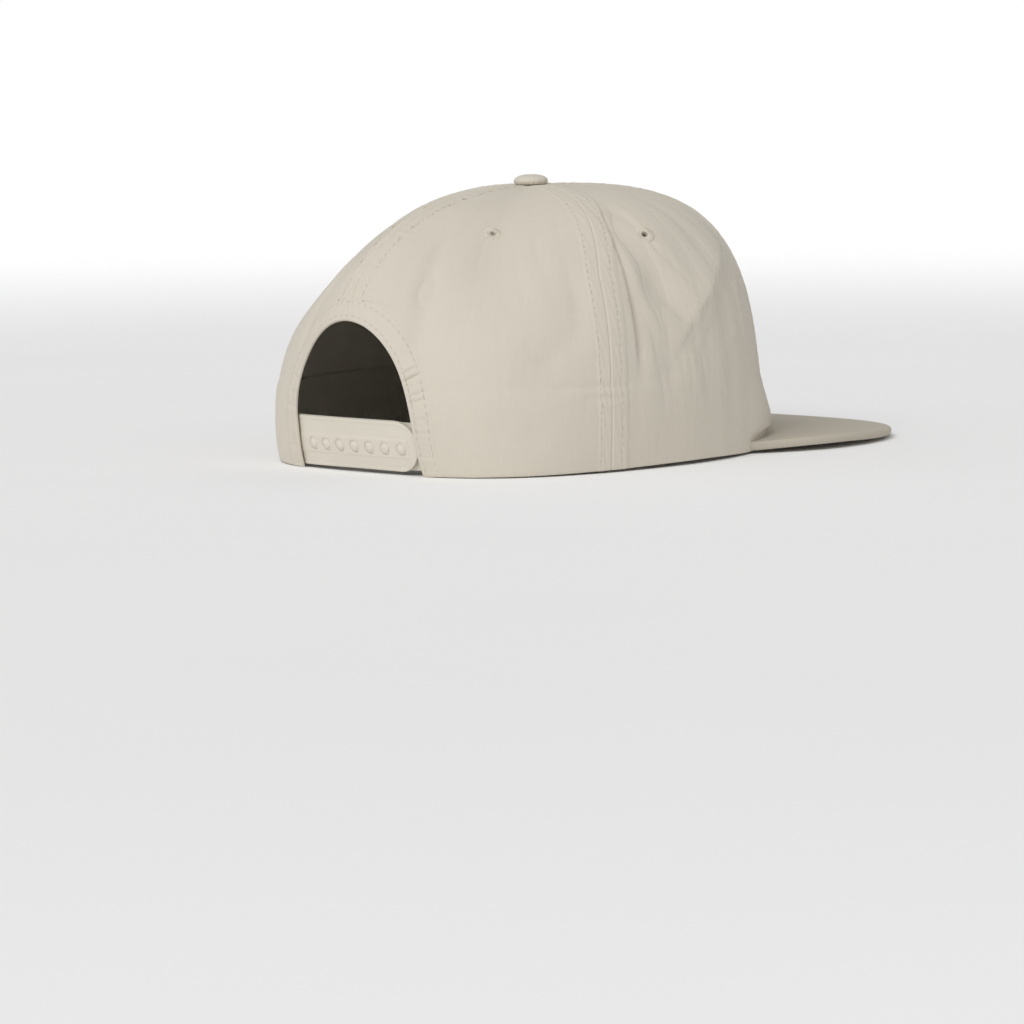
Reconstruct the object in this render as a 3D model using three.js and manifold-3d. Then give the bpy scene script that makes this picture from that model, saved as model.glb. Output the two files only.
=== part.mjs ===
// Surf cap: an unstructured five-panel cap with a flat brim and a plastic snap strap.
// Millimetres, +Z up. The wearer faces -Y, so the brim points to -Y, the strap is at +Y
// and the wearer's right is at -X. The cap is drawn with the rim in the plane Z = 0, then
// tipped so that it rests by itself on the brim's tip and the back of the rim.
import * as THREE from "three";
import { mergeVertices } from "three/addons/utils/BufferGeometryUtils.js";
import Module from "manifold-3d";

const wasm = await Module();
wasm.setup();

// Driving sizes of the crown
const rimHalfWidth = 79;
const rimFront = 101;
const rimRear = 93.5;
const crownHeight = 102;
const apexForward = 3.5;
const frontSquareness = 0.3;
const rearSquareness = 1.15;
const clothWall = 1.3;
const clearance = 0.3;
const frontSeamTurn = 46;
const sideSeamTurn = 113;
const apexHoleRadius = 3;

// Roll of cloth that the front and sides make over the brim joint
const rollDepth = 2.8;
const rollFoot = 4;
const rollTop = 7;
const rollEnd = 29;
const rollHalfTurn = 52;
const rollFadeTurn = 14;

// Opening at the back and the hem around it
const archHalfWidth = 30;
const archCentreHeight = 15;
const archTop = 56.5;
const archFootSpread = 1.2;
const hemWidth = 8;
const hemWall = 2;
const hemProud = 0.4;

// Snap strap
const strapTop = 20;
const strapFoot = 0.3;
const strapWall = 1.3;
const strapTuck = 7;
const strapTipReach = 30.5;
const strapTipRound = 10;
const studCount = 7;
const studPitch = 7.7;
const studHeight = 9.3;
const studRadius = 1.8;
const studRise = 0.45;
const snapHoleRadius = 2.4;

// Brim
const brimLength = 66;
const brimHalfWidth = 84;
const brimWidestBehindRim = 16;
const brimSquareness = 2.4;
const brimWall = 3.3;
const brimEdgeRound = 1.5;
const brimPitch = 2.7;
const brimCrossing = 20;
const brimBackTurn = 62;
const brimFlankPower = 1.7;
const brimRootTop = 14;
const brimRootBelow = 8;

// Sweatband, button and eyelets
const sweatbandHeight = 29;
const sweatbandWall = 1.2;
const buttonRadius = 6.2;
const buttonHeight = 3.3;
const buttonStemRadius = 1.6;
const buttonFootRadius = 4.6;
const buttonFootWall = 0.8;
const buttonRim = 0.8;
const buttonTuck = 0.5;
const eyeletRadius = 3.7;
const eyeletHoleRadius = 1.0;
const eyeletCollarRadius = 2.0;
const eyeletProud = 0.7;
const eyeletSeat = 0.45;
const eyeletEdge = 0.5;
const rearEyeletTurn = 147.5;
const sideEyeletTurn = 90;
const rearEyeletRise = 0.847;
const sideEyeletRise = 0.83;

// Outline of the crown seen from each side, at stations of turn from the front.
// shoulder and round set how square the upright outline is, swell pushes it out at half
// height and lean draws it in with height, both as shares of the rim's own reach.
const stations = [
  { turn: 0, shoulder: 3.6, round: 3.0, swell: -0.015, lean: 0.035 },
  { turn: 52, shoulder: 3.65, round: 3.2, swell: -0.015, lean: 0.035 },
  { turn: 108, shoulder: 3.0, round: 2.5, swell: 0.02, lean: -0.005 },
  { turn: 145, shoulder: 3.5, round: 1.65, swell: 0.045, lean: 0.015 },
  { turn: 180, shoulder: 4.3, round: 2.25, swell: 0.08, lean: -0.08 },
];

// Main dents and ridges of the soft panels, one line per straight stretch, for both sides.
// Turns are in degrees, rises and widths are shares of the crown's height, and depths are
// shares of foldDepth: negative is a dent.
const foldDepth = 2.5;
const foldFade = 0.85;
const foldFadeSpan = 0.1;
const folds = [
  { turn: 106, rise: 0.9, toTurn: 106, toRise: 0.45, width: 0.07, depth: -0.8 },
  { turn: 99, rise: 0.84, toTurn: 94, toRise: 0.65, width: 0.07, depth: -0.5 },
  { turn: 94, rise: 0.65, toTurn: 85, toRise: 0.46, width: 0.07, depth: -0.5 },
  { turn: 104, rise: 0.56, toTurn: 94, toRise: 0.36, width: 0.06, depth: -0.4 },
  { turn: 62, rise: 0.73, toTurn: 82, toRise: 0.5, width: 0.08, depth: 0.4 },
  { turn: 164, rise: 0.8, toTurn: 157, toRise: 0.5, width: 0.15, depth: -0.6 },
  { turn: 145, rise: 0.78, toTurn: 138, toRise: 0.62, width: 0.1, depth: -0.4 },
  { turn: 120, rise: 0.62, toTurn: 130, toRise: 0.36, width: 0.1, depth: -0.4 },
];

// Cells of the shells
const panelColumns = { front: 16, side: 12, rear: 12 };
const upperRows = 10;
const hemColumns = 26;
const hemRows = 12;
const strapColumns = 14;

const radians = Math.PI / 180;
const smooth = (x) => {
  const t = Math.min(Math.max(x, 0), 1);
  return t * t * (3 - 2 * t);
};
const mix = (a, b, share) => a + (b - a) * share;
const steps = (count, from, to) =>
  Array.from({ length: count + 1 }, (_, i) => mix(from, to, i / count));

// Degrees away from the front on either side, 0 to 180.
function fromFront(turn) {
  const around = Math.abs(turn) % 360;
  return around > 180 ? 360 - around : around;
}

// A station value at any turn: cubic curves through the stations, level at both ends.
function stationValue(turn, name) {
  const at = fromFront(turn);
  const slope = (k) => {
    if (k === 0 || k === stations.length - 1) return 0;
    const before = stations[k - 1];
    const after = stations[k + 1];
    return (after[name] - before[name]) / (after.turn - before.turn);
  };
  let k = 0;
  while (k < stations.length - 2 && at > stations[k + 1].turn) k += 1;
  const span = stations[k + 1].turn - stations[k].turn;
  const f = (at - stations[k].turn) / span;
  const start = stations[k][name] * (1 + 2 * f) * (1 - f) ** 2;
  const end = stations[k + 1][name] * f * f * (3 - 2 * f);
  const leave = span * slope(k) * f * (1 - f) ** 2;
  const arrive = span * slope(k + 1) * f * f * (f - 1);
  return start + end + leave + arrive;
}

// The smooth crown at a turn from the front (degrees, + to the wearer's right) and a rise
// (0 at the rim, 1 at the apex).
function bareCrown(turn, rise) {
  const shoulder = stationValue(turn, "shoulder");
  const round = stationValue(turn, "round");
  const swell = stationValue(turn, "swell");
  const lean = stationValue(turn, "lean");
  const left = Math.max(1 - Math.max(rise, 0) ** shoulder, 0) ** (1 / round);
  const reach = left * (1 + swell * Math.sin(Math.PI * Math.max(rise, 0) ** 0.8) - lean * rise);
  const c = Math.cos(turn * radians);
  const s = Math.sin(turn * radians);
  const squareness = c < 0 ? rearSquareness : frontSquareness;
  const power = 2 + squareness * Math.abs(c) * (1 - smooth(rise));
  const radial = (Math.abs(s) ** power + Math.abs(c) ** power) ** (-1 / power);
  const depth = mix(rimFront, rimRear, smooth(0.5 - 0.5 * c));
  return new THREE.Vector3(
    -reach * radial * rimHalfWidth * s,
    -reach * radial * depth * c - apexForward * smooth(rise),
    crownHeight * rise,
  );
}

// How far the cloth stands out from the smooth crown: the roll over the brim joint,
// and the folds, each a soft line whose distance is measured on the unrolled cloth.
function relief(turn, rise) {
  const height = rise * crownHeight;
  const up = smooth((height - rollFoot) / (rollTop - rollFoot));
  const down = 1 - smooth((height - rollTop) / (rollEnd - rollTop));
  const around = 1 - smooth((fromFront(turn) - rollHalfTurn) / rollFadeTurn);
  let out = rollDepth * up * down * around;
  const across = (rimHalfWidth + rimRear) * 0.5 * radians;
  const fade = 1 - smooth((rise - foldFade) / foldFadeSpan);
  for (const fold of folds) {
    const unroll = (byTurn, byRise) => new THREE.Vector2(byTurn * across, byRise * crownHeight);
    const run = unroll(fold.toTurn - fold.turn, fold.toRise - fold.rise);
    const here = unroll(fromFront(turn) - fold.turn, rise - fold.rise);
    const share = Math.min(Math.max(here.dot(run) / run.lengthSq(), 0), 1);
    const distance = here.addScaledVector(run, -share).length();
    const spread = distance / (fold.width * crownHeight);
    out += fade * fold.depth * foldDepth * Math.exp(-spread * spread);
  }
  return out;
}

function outwardNormal(surface, turn, rise) {
  const turnStep = 0.05;
  const riseStep = 0.0005;
  const low = Math.max(rise - riseStep, 0);
  const around = surface(turn + turnStep, rise).sub(surface(turn - turnStep, rise));
  const up = surface(turn, low + 2 * riseStep).sub(surface(turn, low));
  return up.cross(around).normalize();
}

// The outer face of the cloth.
function cloth(turn, rise) {
  const point = bareCrown(turn, rise);
  return point.addScaledVector(outwardNormal(bareCrown, turn, rise), relief(turn, rise));
}

// A point at some depth inside the outer face. At the rim it keeps the rim's plane.
function clothAtDepth(turn, rise, depth) {
  const point = cloth(turn, rise);
  const level = point.z;
  point.addScaledVector(outwardNormal(cloth, turn, rise), -depth);
  if (rise <= 0) point.z = level;
  return point;
}

// The rise at which the crown has closed in to the hole under the button.
function holeRise(turn) {
  let low = 0.9;
  let high = 1;
  for (let i = 0; i < 40; i += 1) {
    const middle = (low + high) / 2;
    const point = bareCrown(turn, middle);
    const apexY = -apexForward * smooth(middle);
    if (Math.hypot(point.x, point.y - apexY) > apexHoleRadius) low = middle;
    else high = middle;
  }
  return low;
}

// Heights of the rows behind the sweatband.
const bandHeights = [0, rollFoot, rollTop, (rollTop + sweatbandHeight) / 2, sweatbandHeight];

// Rises of a panel's rows: at chosen heights up to the sweatband's edge, then in equal
// steps along the cloth up to the hole under the button.
function panelRises(turn) {
  const start = sweatbandHeight / crownHeight;
  const end = holeRise(turn);
  const samples = 300;
  const rises = steps(samples, 0, 1).map((s) => mix(start, end, 1 - (1 - s) ** 4));
  const lengths = [0];
  for (let i = 1; i <= samples; i += 1) {
    const step = bareCrown(turn, rises[i]).distanceTo(bareCrown(turn, rises[i - 1]));
    lengths.push(lengths[i - 1] + step);
  }
  const upper = [];
  for (let row = 1; row <= upperRows; row += 1) {
    const wanted = (lengths[samples] * row) / upperRows;
    let i = 1;
    while (i < samples && lengths[i] < wanted) i += 1;
    const share = (wanted - lengths[i - 1]) / (lengths[i] - lengths[i - 1]);
    upper.push(mix(rises[i - 1], rises[i], share));
  }
  return bandHeights.map((height) => height / crownHeight).concat(upper);
}

// A closed solid between two grids of points, outer[i][j] and inner[i][j], where i runs
// with the turn and j upwards.
function shell(outer, inner) {
  const columns = outer.length;
  const rows = outer[0].length;
  const vertices = [];
  for (const grid of [outer, inner]) {
    for (const column of grid) {
      for (const point of column) vertices.push(point.x, point.y, point.z);
    }
  }
  const index = (face, i, j) => face * columns * rows + i * rows + j;
  const triangles = [];
  const quad = (a, b, c, d) => triangles.push(a, b, c, a, c, d);
  for (let i = 0; i < columns - 1; i += 1) {
    for (let j = 0; j < rows - 1; j += 1) {
      quad(index(0, i, j), index(0, i, j + 1), index(0, i + 1, j + 1), index(0, i + 1, j));
      quad(index(1, i, j), index(1, i + 1, j), index(1, i + 1, j + 1), index(1, i, j + 1));
    }
    quad(index(0, i, 0), index(0, i + 1, 0), index(1, i + 1, 0), index(1, i, 0));
    const top = rows - 1;
    quad(index(0, i, top), index(1, i, top), index(1, i + 1, top), index(0, i + 1, top));
  }
  for (let j = 0; j < rows - 1; j += 1) {
    quad(index(0, 0, j), index(1, 0, j), index(1, 0, j + 1), index(0, 0, j + 1));
    const last = columns - 1;
    quad(index(0, last, j), index(0, last, j + 1), index(1, last, j + 1), index(1, last, j));
  }
  const geometry = new THREE.BufferGeometry();
  geometry.setAttribute("position", new THREE.Float32BufferAttribute(vertices, 3));
  geometry.setIndex(triangles);
  return geometry;
}

// A shell that follows the cloth between two turns and two depths.
function clothShell(turns, risesAt, outerDepth, innerDepth) {
  const grid = (depth) => turns.map((turn) => risesAt(turn).map((rise) => clothAtDepth(turn, rise, depth)));
  return shell(grid(outerDepth), grid(innerDepth));
}

// Solids for cutting and joining
function solidOf(geometry) {
  const bare = geometry.clone();
  bare.deleteAttribute("normal");
  bare.deleteAttribute("uv");
  const merged = mergeVertices(bare);
  return new wasm.Manifold(new wasm.Mesh({
    numProp: 3,
    vertProperties: new Float32Array(merged.attributes.position.array),
    triVerts: new Uint32Array(merged.index.array),
  }));
}

function geometryOf(solid) {
  const { vertProperties, triVerts } = solid.getMesh();
  const geometry = new THREE.BufferGeometry();
  geometry.setAttribute("position", new THREE.BufferAttribute(vertProperties, 3));
  geometry.setIndex(new THREE.BufferAttribute(triVerts, 1));
  return geometry;
}

// A post through the cloth, with the outward normal as its axis.
function placedOnCloth(geometry, turn, rise) {
  const toNormal = new THREE.Quaternion().setFromUnitVectors(
    new THREE.Vector3(0, 1, 0),
    outwardNormal(cloth, turn, rise),
  );
  const place = new THREE.Matrix4().compose(cloth(turn, rise), toNormal, new THREE.Vector3(1, 1, 1));
  return geometry.applyMatrix4(place);
}

function lathe(profile, sides) {
  return new THREE.LatheGeometry(profile.map(([r, y]) => new THREE.Vector2(r, y)), sides);
}

// Distances along the back of the rim, from the middle, positive to the wearer's right.
const rearWalk = (() => {
  const turns = steps(240, 180, 120);
  const rise = studHeight / crownHeight;
  const lengths = [0];
  for (let i = 1; i < turns.length; i += 1) {
    const step = bareCrown(turns[i], rise).distanceTo(bareCrown(turns[i - 1], rise));
    lengths.push(lengths[i - 1] + step);
  }
  return { turns, lengths };
})();

function rearTurn(distance) {
  const { turns, lengths } = rearWalk;
  const wanted = Math.abs(distance);
  let i = 1;
  while (i < lengths.length - 1 && lengths[i] < wanted) i += 1;
  const share = (wanted - lengths[i - 1]) / (lengths[i] - lengths[i - 1]);
  const turn = mix(turns[i - 1], turns[i], share);
  return distance >= 0 ? turn : 360 - turn;
}

// Panels
function panel(fromTurn, toTurn, columns, eyelet) {
  const half = clearance / 2;
  const grid = (depth) => steps(columns, fromTurn, toTurn).map((turn, i) => {
    const shift = i === 0 ? half : i === columns ? -half : 0;
    return panelRises(turn).map((rise) => {
      const point = clothAtDepth(turn, rise, depth);
      const along = cloth(turn + 0.1, rise).sub(cloth(turn - 0.1, rise)).normalize();
      return point.addScaledVector(along, shift);
    });
  });
  const solid = solidOf(shell(grid(0), grid(clothWall)));
  if (!eyelet) return solid;
  const hole = new THREE.CylinderGeometry(
    eyeletCollarRadius + clearance, eyeletCollarRadius + clearance, clothWall * 6, 12,
  );
  return solid.subtract(solidOf(placedOnCloth(hole, eyelet.turn, eyelet.rise)));
}

// An outline seen from the back, as a block that runs through the back of the crown.
function backwardBlock(outline, curveSegments) {
  const block = new THREE.ExtrudeGeometry(outline, { depth: rimRear, bevelEnabled: false, curveSegments });
  block.rotateX(Math.PI / 2);
  block.translate(0, rimRear * 1.4, 0);
  return solidOf(block);
}

// The arch of the opening, grown outwards.
function archBlock(grow) {
  const half = archHalfWidth + grow;
  const height = archTop - archCentreHeight + grow;
  const below = -archCentreHeight / 3;
  const footSpread = archFootSpread * (1 - below / archCentreHeight);
  const outline = new THREE.Shape();
  outline.moveTo(-half - footSpread, below);
  outline.lineTo(half + footSpread, below);
  outline.lineTo(half, archCentreHeight);
  outline.absellipse(0, archCentreHeight, half, height, 0, Math.PI, false);
  outline.closePath();
  return backwardBlock(outline, 28);
}

function archHem() {
  const reach = rearTurn(archHalfWidth + archFootSpread + hemWidth * 1.6);
  const top = (archTop + hemWidth * 1.5) / crownHeight;
  const band = clothShell(
    steps(hemColumns, reach, 360 - reach),
    () => steps(hemRows, 0, top),
    -hemProud,
    hemWall - hemProud,
  );
  return solidOf(band).intersect(archBlock(hemWidth)).subtract(archBlock(0));
}

// Both halves of the strap lie inside the hem, the one with holes on the outside.
const strapDepth = hemWall - hemProud + clearance;
const strapEnd = archHalfWidth + archFootSpread + strapTuck;

function strapSlab(fromDistance, toDistance, depth) {
  const rises = [strapFoot / crownHeight, strapTop / crownHeight];
  const turns = steps(strapColumns, rearTurn(fromDistance), rearTurn(toDistance));
  return solidOf(clothShell(turns, () => steps(3, rises[0], rises[1]), depth, depth + strapWall));
}

// The strap's outline seen from the back, with its free end rounded.
function strapOutline(tip, direction) {
  const middle = (strapTop + strapFoot) / 2;
  const half = (strapTop - strapFoot) / 2 + clearance / 30;
  const outline = new THREE.Shape();
  const straight = tip - strapTipRound;
  outline.moveTo(-direction * 2 * strapEnd, middle - half);
  outline.lineTo(direction * straight, middle - half);
  const quarter = Math.PI / 2;
  outline.absellipse(direction * straight, middle, strapTipRound, half, -quarter, quarter, direction < 0);
  outline.lineTo(-direction * 2 * strapEnd, middle + half);
  outline.closePath();
  return backwardBlock(outline, 14);
}

const studTurns = steps(studCount - 1, -1, 1).map((k) => rearTurn(k * studPitch * (studCount - 1) * 0.5));
const studRiseAt = studHeight / crownHeight;

function strapOuter() {
  const slab = strapSlab(strapTipReach, -strapEnd, strapDepth);
  let strap = slab.intersect(strapOutline(strapTipReach, -1));
  for (const turn of studTurns) {
    const hole = new THREE.CylinderGeometry(snapHoleRadius, snapHoleRadius, strapWall * 8, 12);
    strap = strap.subtract(solidOf(placedOnCloth(hole, turn, studRiseAt)));
  }
  return strap;
}

function strapInner() {
  const depth = strapDepth + strapWall + clearance;
  let strap = strapSlab(strapEnd, -strapTipReach, depth).intersect(strapOutline(strapTipReach, 1));
  const root = -depth - strapWall / 2;
  const shoulder = -strapDepth + studRise * 0.4;
  const crest = -strapDepth + studRise;
  for (const turn of studTurns) {
    const side = [[0, root], [studRadius, root], [studRadius, shoulder]];
    const stud = lathe([...side, [studRadius * 0.7, crest], [0, crest]], 12);
    strap = strap.add(solidOf(placedOnCloth(stud, turn, studRiseAt)));
  }
  return strap;
}

// Sweatband, inside the panels from one end of the strap round to the other.
function sweatband() {
  const end = rearTurn(archHalfWidth + archFootSpread + 1.35 * hemWidth);
  const outerDepth = clothWall + clearance;
  const turns = [
    ...steps(8, -end, -sideSeamTurn),
    ...steps(panelColumns.side, -sideSeamTurn, -frontSeamTurn).slice(1),
    ...steps(panelColumns.front, -frontSeamTurn, frontSeamTurn).slice(1),
    ...steps(panelColumns.side, frontSeamTurn, sideSeamTurn).slice(1),
    ...steps(8, sideSeamTurn, end).slice(1),
  ];
  return clothShell(
    turns,
    () => bandHeights.map((height) => height / crownHeight),
    outerDepth,
    outerDepth + sweatbandWall,
  );
}

// The foot of the crown as a filled block, grown by the clearance, that shapes the brim's root.
function crownFoot() {
  const turns = steps(72, -180, 180).slice(0, 72);
  const heights = [-brimRootBelow, 0, rollFoot, rollTop, brimRootTop];
  const ring = (height) => turns.map((turn) => {
    const point = clothAtDepth(turn, Math.max(height, 0) / crownHeight, -clearance);
    return new THREE.Vector2(point.x, point.y);
  });
  const vertices = [];
  for (const height of heights) {
    for (const point of ring(height)) vertices.push(point.x, point.y, height);
  }
  vertices.push(0, 0, heights[0], 0, 0, heights[heights.length - 1]);
  const count = turns.length;
  const bottom = count * heights.length;
  const triangles = [];
  for (let i = 0; i < count; i += 1) {
    const next = (i + 1) % count;
    for (let j = 0; j < heights.length - 1; j += 1) {
      const low = j * count;
      const high = low + count;
      triangles.push(low + i, high + i, high + next, low + i, high + next, low + next);
    }
    const top = count * (heights.length - 1);
    triangles.push(bottom, i, next, bottom + 1, top + next, top + i);
  }
  const geometry = new THREE.BufferGeometry();
  geometry.setAttribute("position", new THREE.Float32BufferAttribute(vertices, 3));
  geometry.setIndex(triangles);
  return solidOf(geometry);
}

// The brim: a flat plate with rounded edges, pitched down towards its tip. Its flanks draw
// in behind the widest line until they meet the rim.
function brim() {
  const widestY = -rimFront + brimWidestBehindRim;
  const reach = rimFront + brimLength + widestY;
  const oval = steps(30, -90, 90).map((angle) => {
    const s = Math.sin(angle * radians);
    const c = Math.cos(angle * radians);
    const radial = (Math.abs(s) ** brimSquareness + Math.abs(c) ** brimSquareness) ** (-1 / brimSquareness);
    return new THREE.Vector2(-brimHalfWidth * s * radial, widestY - reach * c * radial);
  });
  const root = cloth(brimBackTurn, 0);
  const flank = steps(7, 0, 1).slice(1).map((share) => new THREE.Vector2(
    -brimHalfWidth + (brimHalfWidth + root.x) * share ** brimFlankPower,
    widestY + (root.y - widestY) * share,
  ));
  const otherFlank = flank.map((point) => new THREE.Vector2(-point.x, point.y)).reverse();
  const outline = new THREE.Shape([...otherFlank, ...oval, ...flank]);
  const plate = new THREE.ExtrudeGeometry(outline, {
    depth: brimWall - 2 * brimEdgeRound,
    bevelThickness: brimEdgeRound,
    bevelSize: brimEdgeRound,
    bevelOffset: -brimEdgeRound,
    bevelSegments: 3,
  });
  plate.translate(0, rimFront - brimCrossing, brimEdgeRound);
  plate.rotateX(brimPitch * radians);
  plate.translate(0, -(rimFront - brimCrossing), 0);
  return solidOf(plate).subtract(crownFoot());
}

// Button: a domed top, a stem through the hole and a foot under the cloth.
function button() {
  const seat = clearance;
  const footTop = -clothWall - clearance;
  const dome = steps(6, 0, 90).map((angle) => [
    buttonRadius * Math.cos(angle * radians),
    seat + buttonRim + (buttonHeight - buttonRim) * Math.sin(angle * radians),
  ]);
  dome[dome.length - 1][0] = 0;
  return lathe([
    [0, footTop - buttonFootWall],
    [buttonFootRadius, footTop - buttonFootWall],
    [buttonFootRadius, footTop],
    [buttonStemRadius, footTop],
    [buttonStemRadius, seat],
    [buttonRadius - buttonTuck, seat],
    ...dome,
  ], 20);
}

// Eyelet: an embroidered ring that lines a small hole through the cloth.
function eyelet(turn, rise) {
  const seat = eyeletSeat;
  const ring = lathe([
    [eyeletHoleRadius, -clothWall],
    [eyeletCollarRadius, -clothWall],
    [eyeletCollarRadius, seat],
    [eyeletRadius, seat],
    [eyeletRadius - eyeletEdge, seat + eyeletProud],
    [eyeletHoleRadius + eyeletEdge, seat + eyeletProud],
    [eyeletHoleRadius, seat + eyeletProud * 0.5],
    [eyeletHoleRadius, -clothWall],
  ], 14);
  return placedOnCloth(ring, turn, rise);
}

// Materials
const clothStone = new THREE.MeshStandardMaterial({ color: 0xcfc8b8, roughness: 0.85, metalness: 0 });
const clothShade = new THREE.MeshStandardMaterial({ color: 0xc8c1b1, roughness: 0.85, metalness: 0 });
const bandStone = new THREE.MeshStandardMaterial({ color: 0xc4bcab, roughness: 0.9, metalness: 0 });
const plasticStone = new THREE.MeshStandardMaterial({ color: 0xd2cabb, roughness: 0.45, metalness: 0 });
const threadStone = new THREE.MeshStandardMaterial({ color: 0xbdb4a2, roughness: 0.8, metalness: 0 });

const cap = new THREE.Group();

function add(name, geometry, material) {
  const mesh = new THREE.Mesh(geometry, material);
  mesh.name = name;
  cap.add(mesh);
  return mesh;
}

const sides = [{ name: "right", sign: 1 }, { name: "left", sign: -1 }];
add("front_panel", geometryOf(panel(-frontSeamTurn, frontSeamTurn, panelColumns.front)), clothStone);
for (const { name, sign } of sides) {
  const ordered = (a, b) => (sign > 0 ? [a, b] : [-b, -a]);
  const sideTurns = ordered(frontSeamTurn, sideSeamTurn);
  const rearTurns = ordered(sideSeamTurn, 180);
  const sideEyelet = { turn: sign * sideEyeletTurn, rise: sideEyeletRise };
  const rearEyelet = { turn: sign * rearEyeletTurn, rise: rearEyeletRise };
  add(`side_panel_${name}`, geometryOf(panel(...sideTurns, panelColumns.side, sideEyelet)), clothStone);
  const rear = panel(...rearTurns, panelColumns.rear, rearEyelet);
  add(`rear_panel_${name}`, geometryOf(rear.subtract(archBlock(hemWidth + clearance))), clothStone);
  add(`eyelet_side_${name}`, eyelet(sideEyelet.turn, sideEyelet.rise), threadStone);
  add(`eyelet_rear_${name}`, eyelet(rearEyelet.turn, rearEyelet.rise), threadStone);
}
add("arch_hem", geometryOf(archHem()), clothShade);
add("brim", geometryOf(brim()), clothShade);
add("sweatband", sweatband(), bandStone);
add("strap_outer", geometryOf(strapOuter()), plasticStone);
add("strap_inner", geometryOf(strapInner()), plasticStone);
const topButton = add("top_button", button(), clothStone);
topButton.rotation.x = Math.PI / 2;
topButton.position.set(0, -apexForward, crownHeight);

// At rest the brim's tip and the back of the rim touch the surface.
const tipDrop = (brimLength + brimCrossing) * Math.sin(brimPitch * radians);
cap.rotation.x = -Math.asin(tipDrop / (rimRear + rimFront + brimLength));
const placed = new THREE.Group();
placed.add(cap);
placed.updateMatrixWorld(true);
const bounds = new THREE.Box3().setFromObject(placed, true);
placed.position.set(0, -(bounds.min.y + bounds.max.y) / 2, -bounds.min.z);

export default placed;
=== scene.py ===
# %% [markdown]
# A surf cap, dressed for the camera
# The cap is an unstructured five-panel cap in thin stone-coloured nylon, with a flat
# brim and a plastic snap strap across the opening at the back. The plain solids of the
# cap are loaded first. Every cell after that works out one real piece as a surface, in
# metres and in the solids' own frame, and lets it stand for the solid of that piece.

# %% Load the solids
import math

import bpy
import numpy as np
from mathutils import Matrix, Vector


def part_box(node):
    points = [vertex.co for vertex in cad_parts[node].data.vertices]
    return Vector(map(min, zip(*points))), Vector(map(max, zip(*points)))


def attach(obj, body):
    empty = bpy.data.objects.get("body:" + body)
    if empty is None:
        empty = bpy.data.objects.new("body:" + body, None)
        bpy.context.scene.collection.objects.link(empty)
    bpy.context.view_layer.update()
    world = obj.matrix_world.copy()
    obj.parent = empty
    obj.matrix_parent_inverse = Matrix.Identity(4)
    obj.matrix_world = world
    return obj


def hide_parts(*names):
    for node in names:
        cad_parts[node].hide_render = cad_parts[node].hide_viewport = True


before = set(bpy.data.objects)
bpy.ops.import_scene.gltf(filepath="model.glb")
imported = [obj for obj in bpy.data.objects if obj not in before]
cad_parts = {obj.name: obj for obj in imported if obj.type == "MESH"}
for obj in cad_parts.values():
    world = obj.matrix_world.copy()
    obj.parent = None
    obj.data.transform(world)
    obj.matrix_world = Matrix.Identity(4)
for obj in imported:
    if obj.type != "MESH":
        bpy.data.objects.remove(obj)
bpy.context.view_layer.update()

print("solids:", len(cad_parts), "pieces")

# %% [markdown]
# The sizes are the ones that the solids were drawn with, so that each surface lands on
# its solid. They could be measured from the loaded meshes instead, but a named size says
# what it is, and a reader can change one and see what moves.

# %% Sizes, in metres
MM = 0.001
RIM_HALF_WIDTH = 79 * MM
RIM_FRONT = 101 * MM
RIM_REAR = 93.5 * MM
CROWN_HEIGHT = 102 * MM
APEX_FORWARD = 3.5 * MM
FRONT_SQUARENESS = 0.3
REAR_SQUARENESS = 1.15
CLOTH_WALL = 1.3 * MM
CLEARANCE = 0.3 * MM
FRONT_SEAM_TURN = 46
SIDE_SEAM_TURN = 113
BACK_SEAM_TURN = 180
APEX_HOLE_RADIUS = 3 * MM
ARCH_HALF_WIDTH = 30 * MM
ARCH_CENTRE_HEIGHT = 15 * MM
ARCH_TOP = 56.5 * MM
ARCH_FOOT_SPREAD = 1.2 * MM
HEM_WIDTH = 8 * MM
HEM_WALL = 2 * MM
HEM_PROUD = 0.4 * MM
STRAP_TOP = 20 * MM
STRAP_FOOT = 0.3 * MM
STRAP_WALL = 1.3 * MM
STRAP_TUCK = 7 * MM
STRAP_TIP_REACH = 30.5 * MM
STRAP_TIP_ROUND = 10 * MM
STUD_COUNT = 7
STUD_PITCH = 7.7 * MM
STUD_HEIGHT = 9.3 * MM
STUD_RADIUS = 1.8 * MM
STUD_RISE = 0.75 * MM
SNAP_HOLE_RADIUS = 2.4 * MM
BRIM_LENGTH = 66 * MM
BRIM_HALF_WIDTH = 84 * MM
BRIM_WIDEST_BEHIND_RIM = 16 * MM
BRIM_SQUARENESS = 2.4
BRIM_WALL = 3.3 * MM
BRIM_EDGE_ROUND = 1.5 * MM
BRIM_PITCH = math.radians(2.7)
BRIM_CROSSING = 20 * MM
BRIM_BACK_TURN = 62
BRIM_FLANK_POWER = 1.7
SWEATBAND_HEIGHT = 29 * MM
SWEATBAND_WALL = 1.2 * MM
BUTTON_RADIUS = 6.2 * MM
BUTTON_HEIGHT = 3.3 * MM
EYELET_HOLE_CUT = 2 * MM

# %% [markdown]
# The crown is one smooth surface, found from two numbers: the turn from the front in
# degrees, and the rise from the rim (0) to the apex (1). A sculpted mesh could have the
# same look, but a formula lets every seam, hem and stitch be laid on the same cloth.

# %% The smooth crown
STATION_TURNS = np.array([0, 52, 108, 145, 180], float)
STATIONS = {
    "shoulder": np.array([3.6, 3.65, 3.0, 3.5, 4.3]),
    "round": np.array([3.0, 3.2, 2.5, 1.65, 2.25]),
    "swell": np.array([-0.015, -0.015, 0.02, 0.045, 0.08]),
    "lean": np.array([0.035, 0.035, -0.005, 0.015, -0.08]),
}


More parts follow.
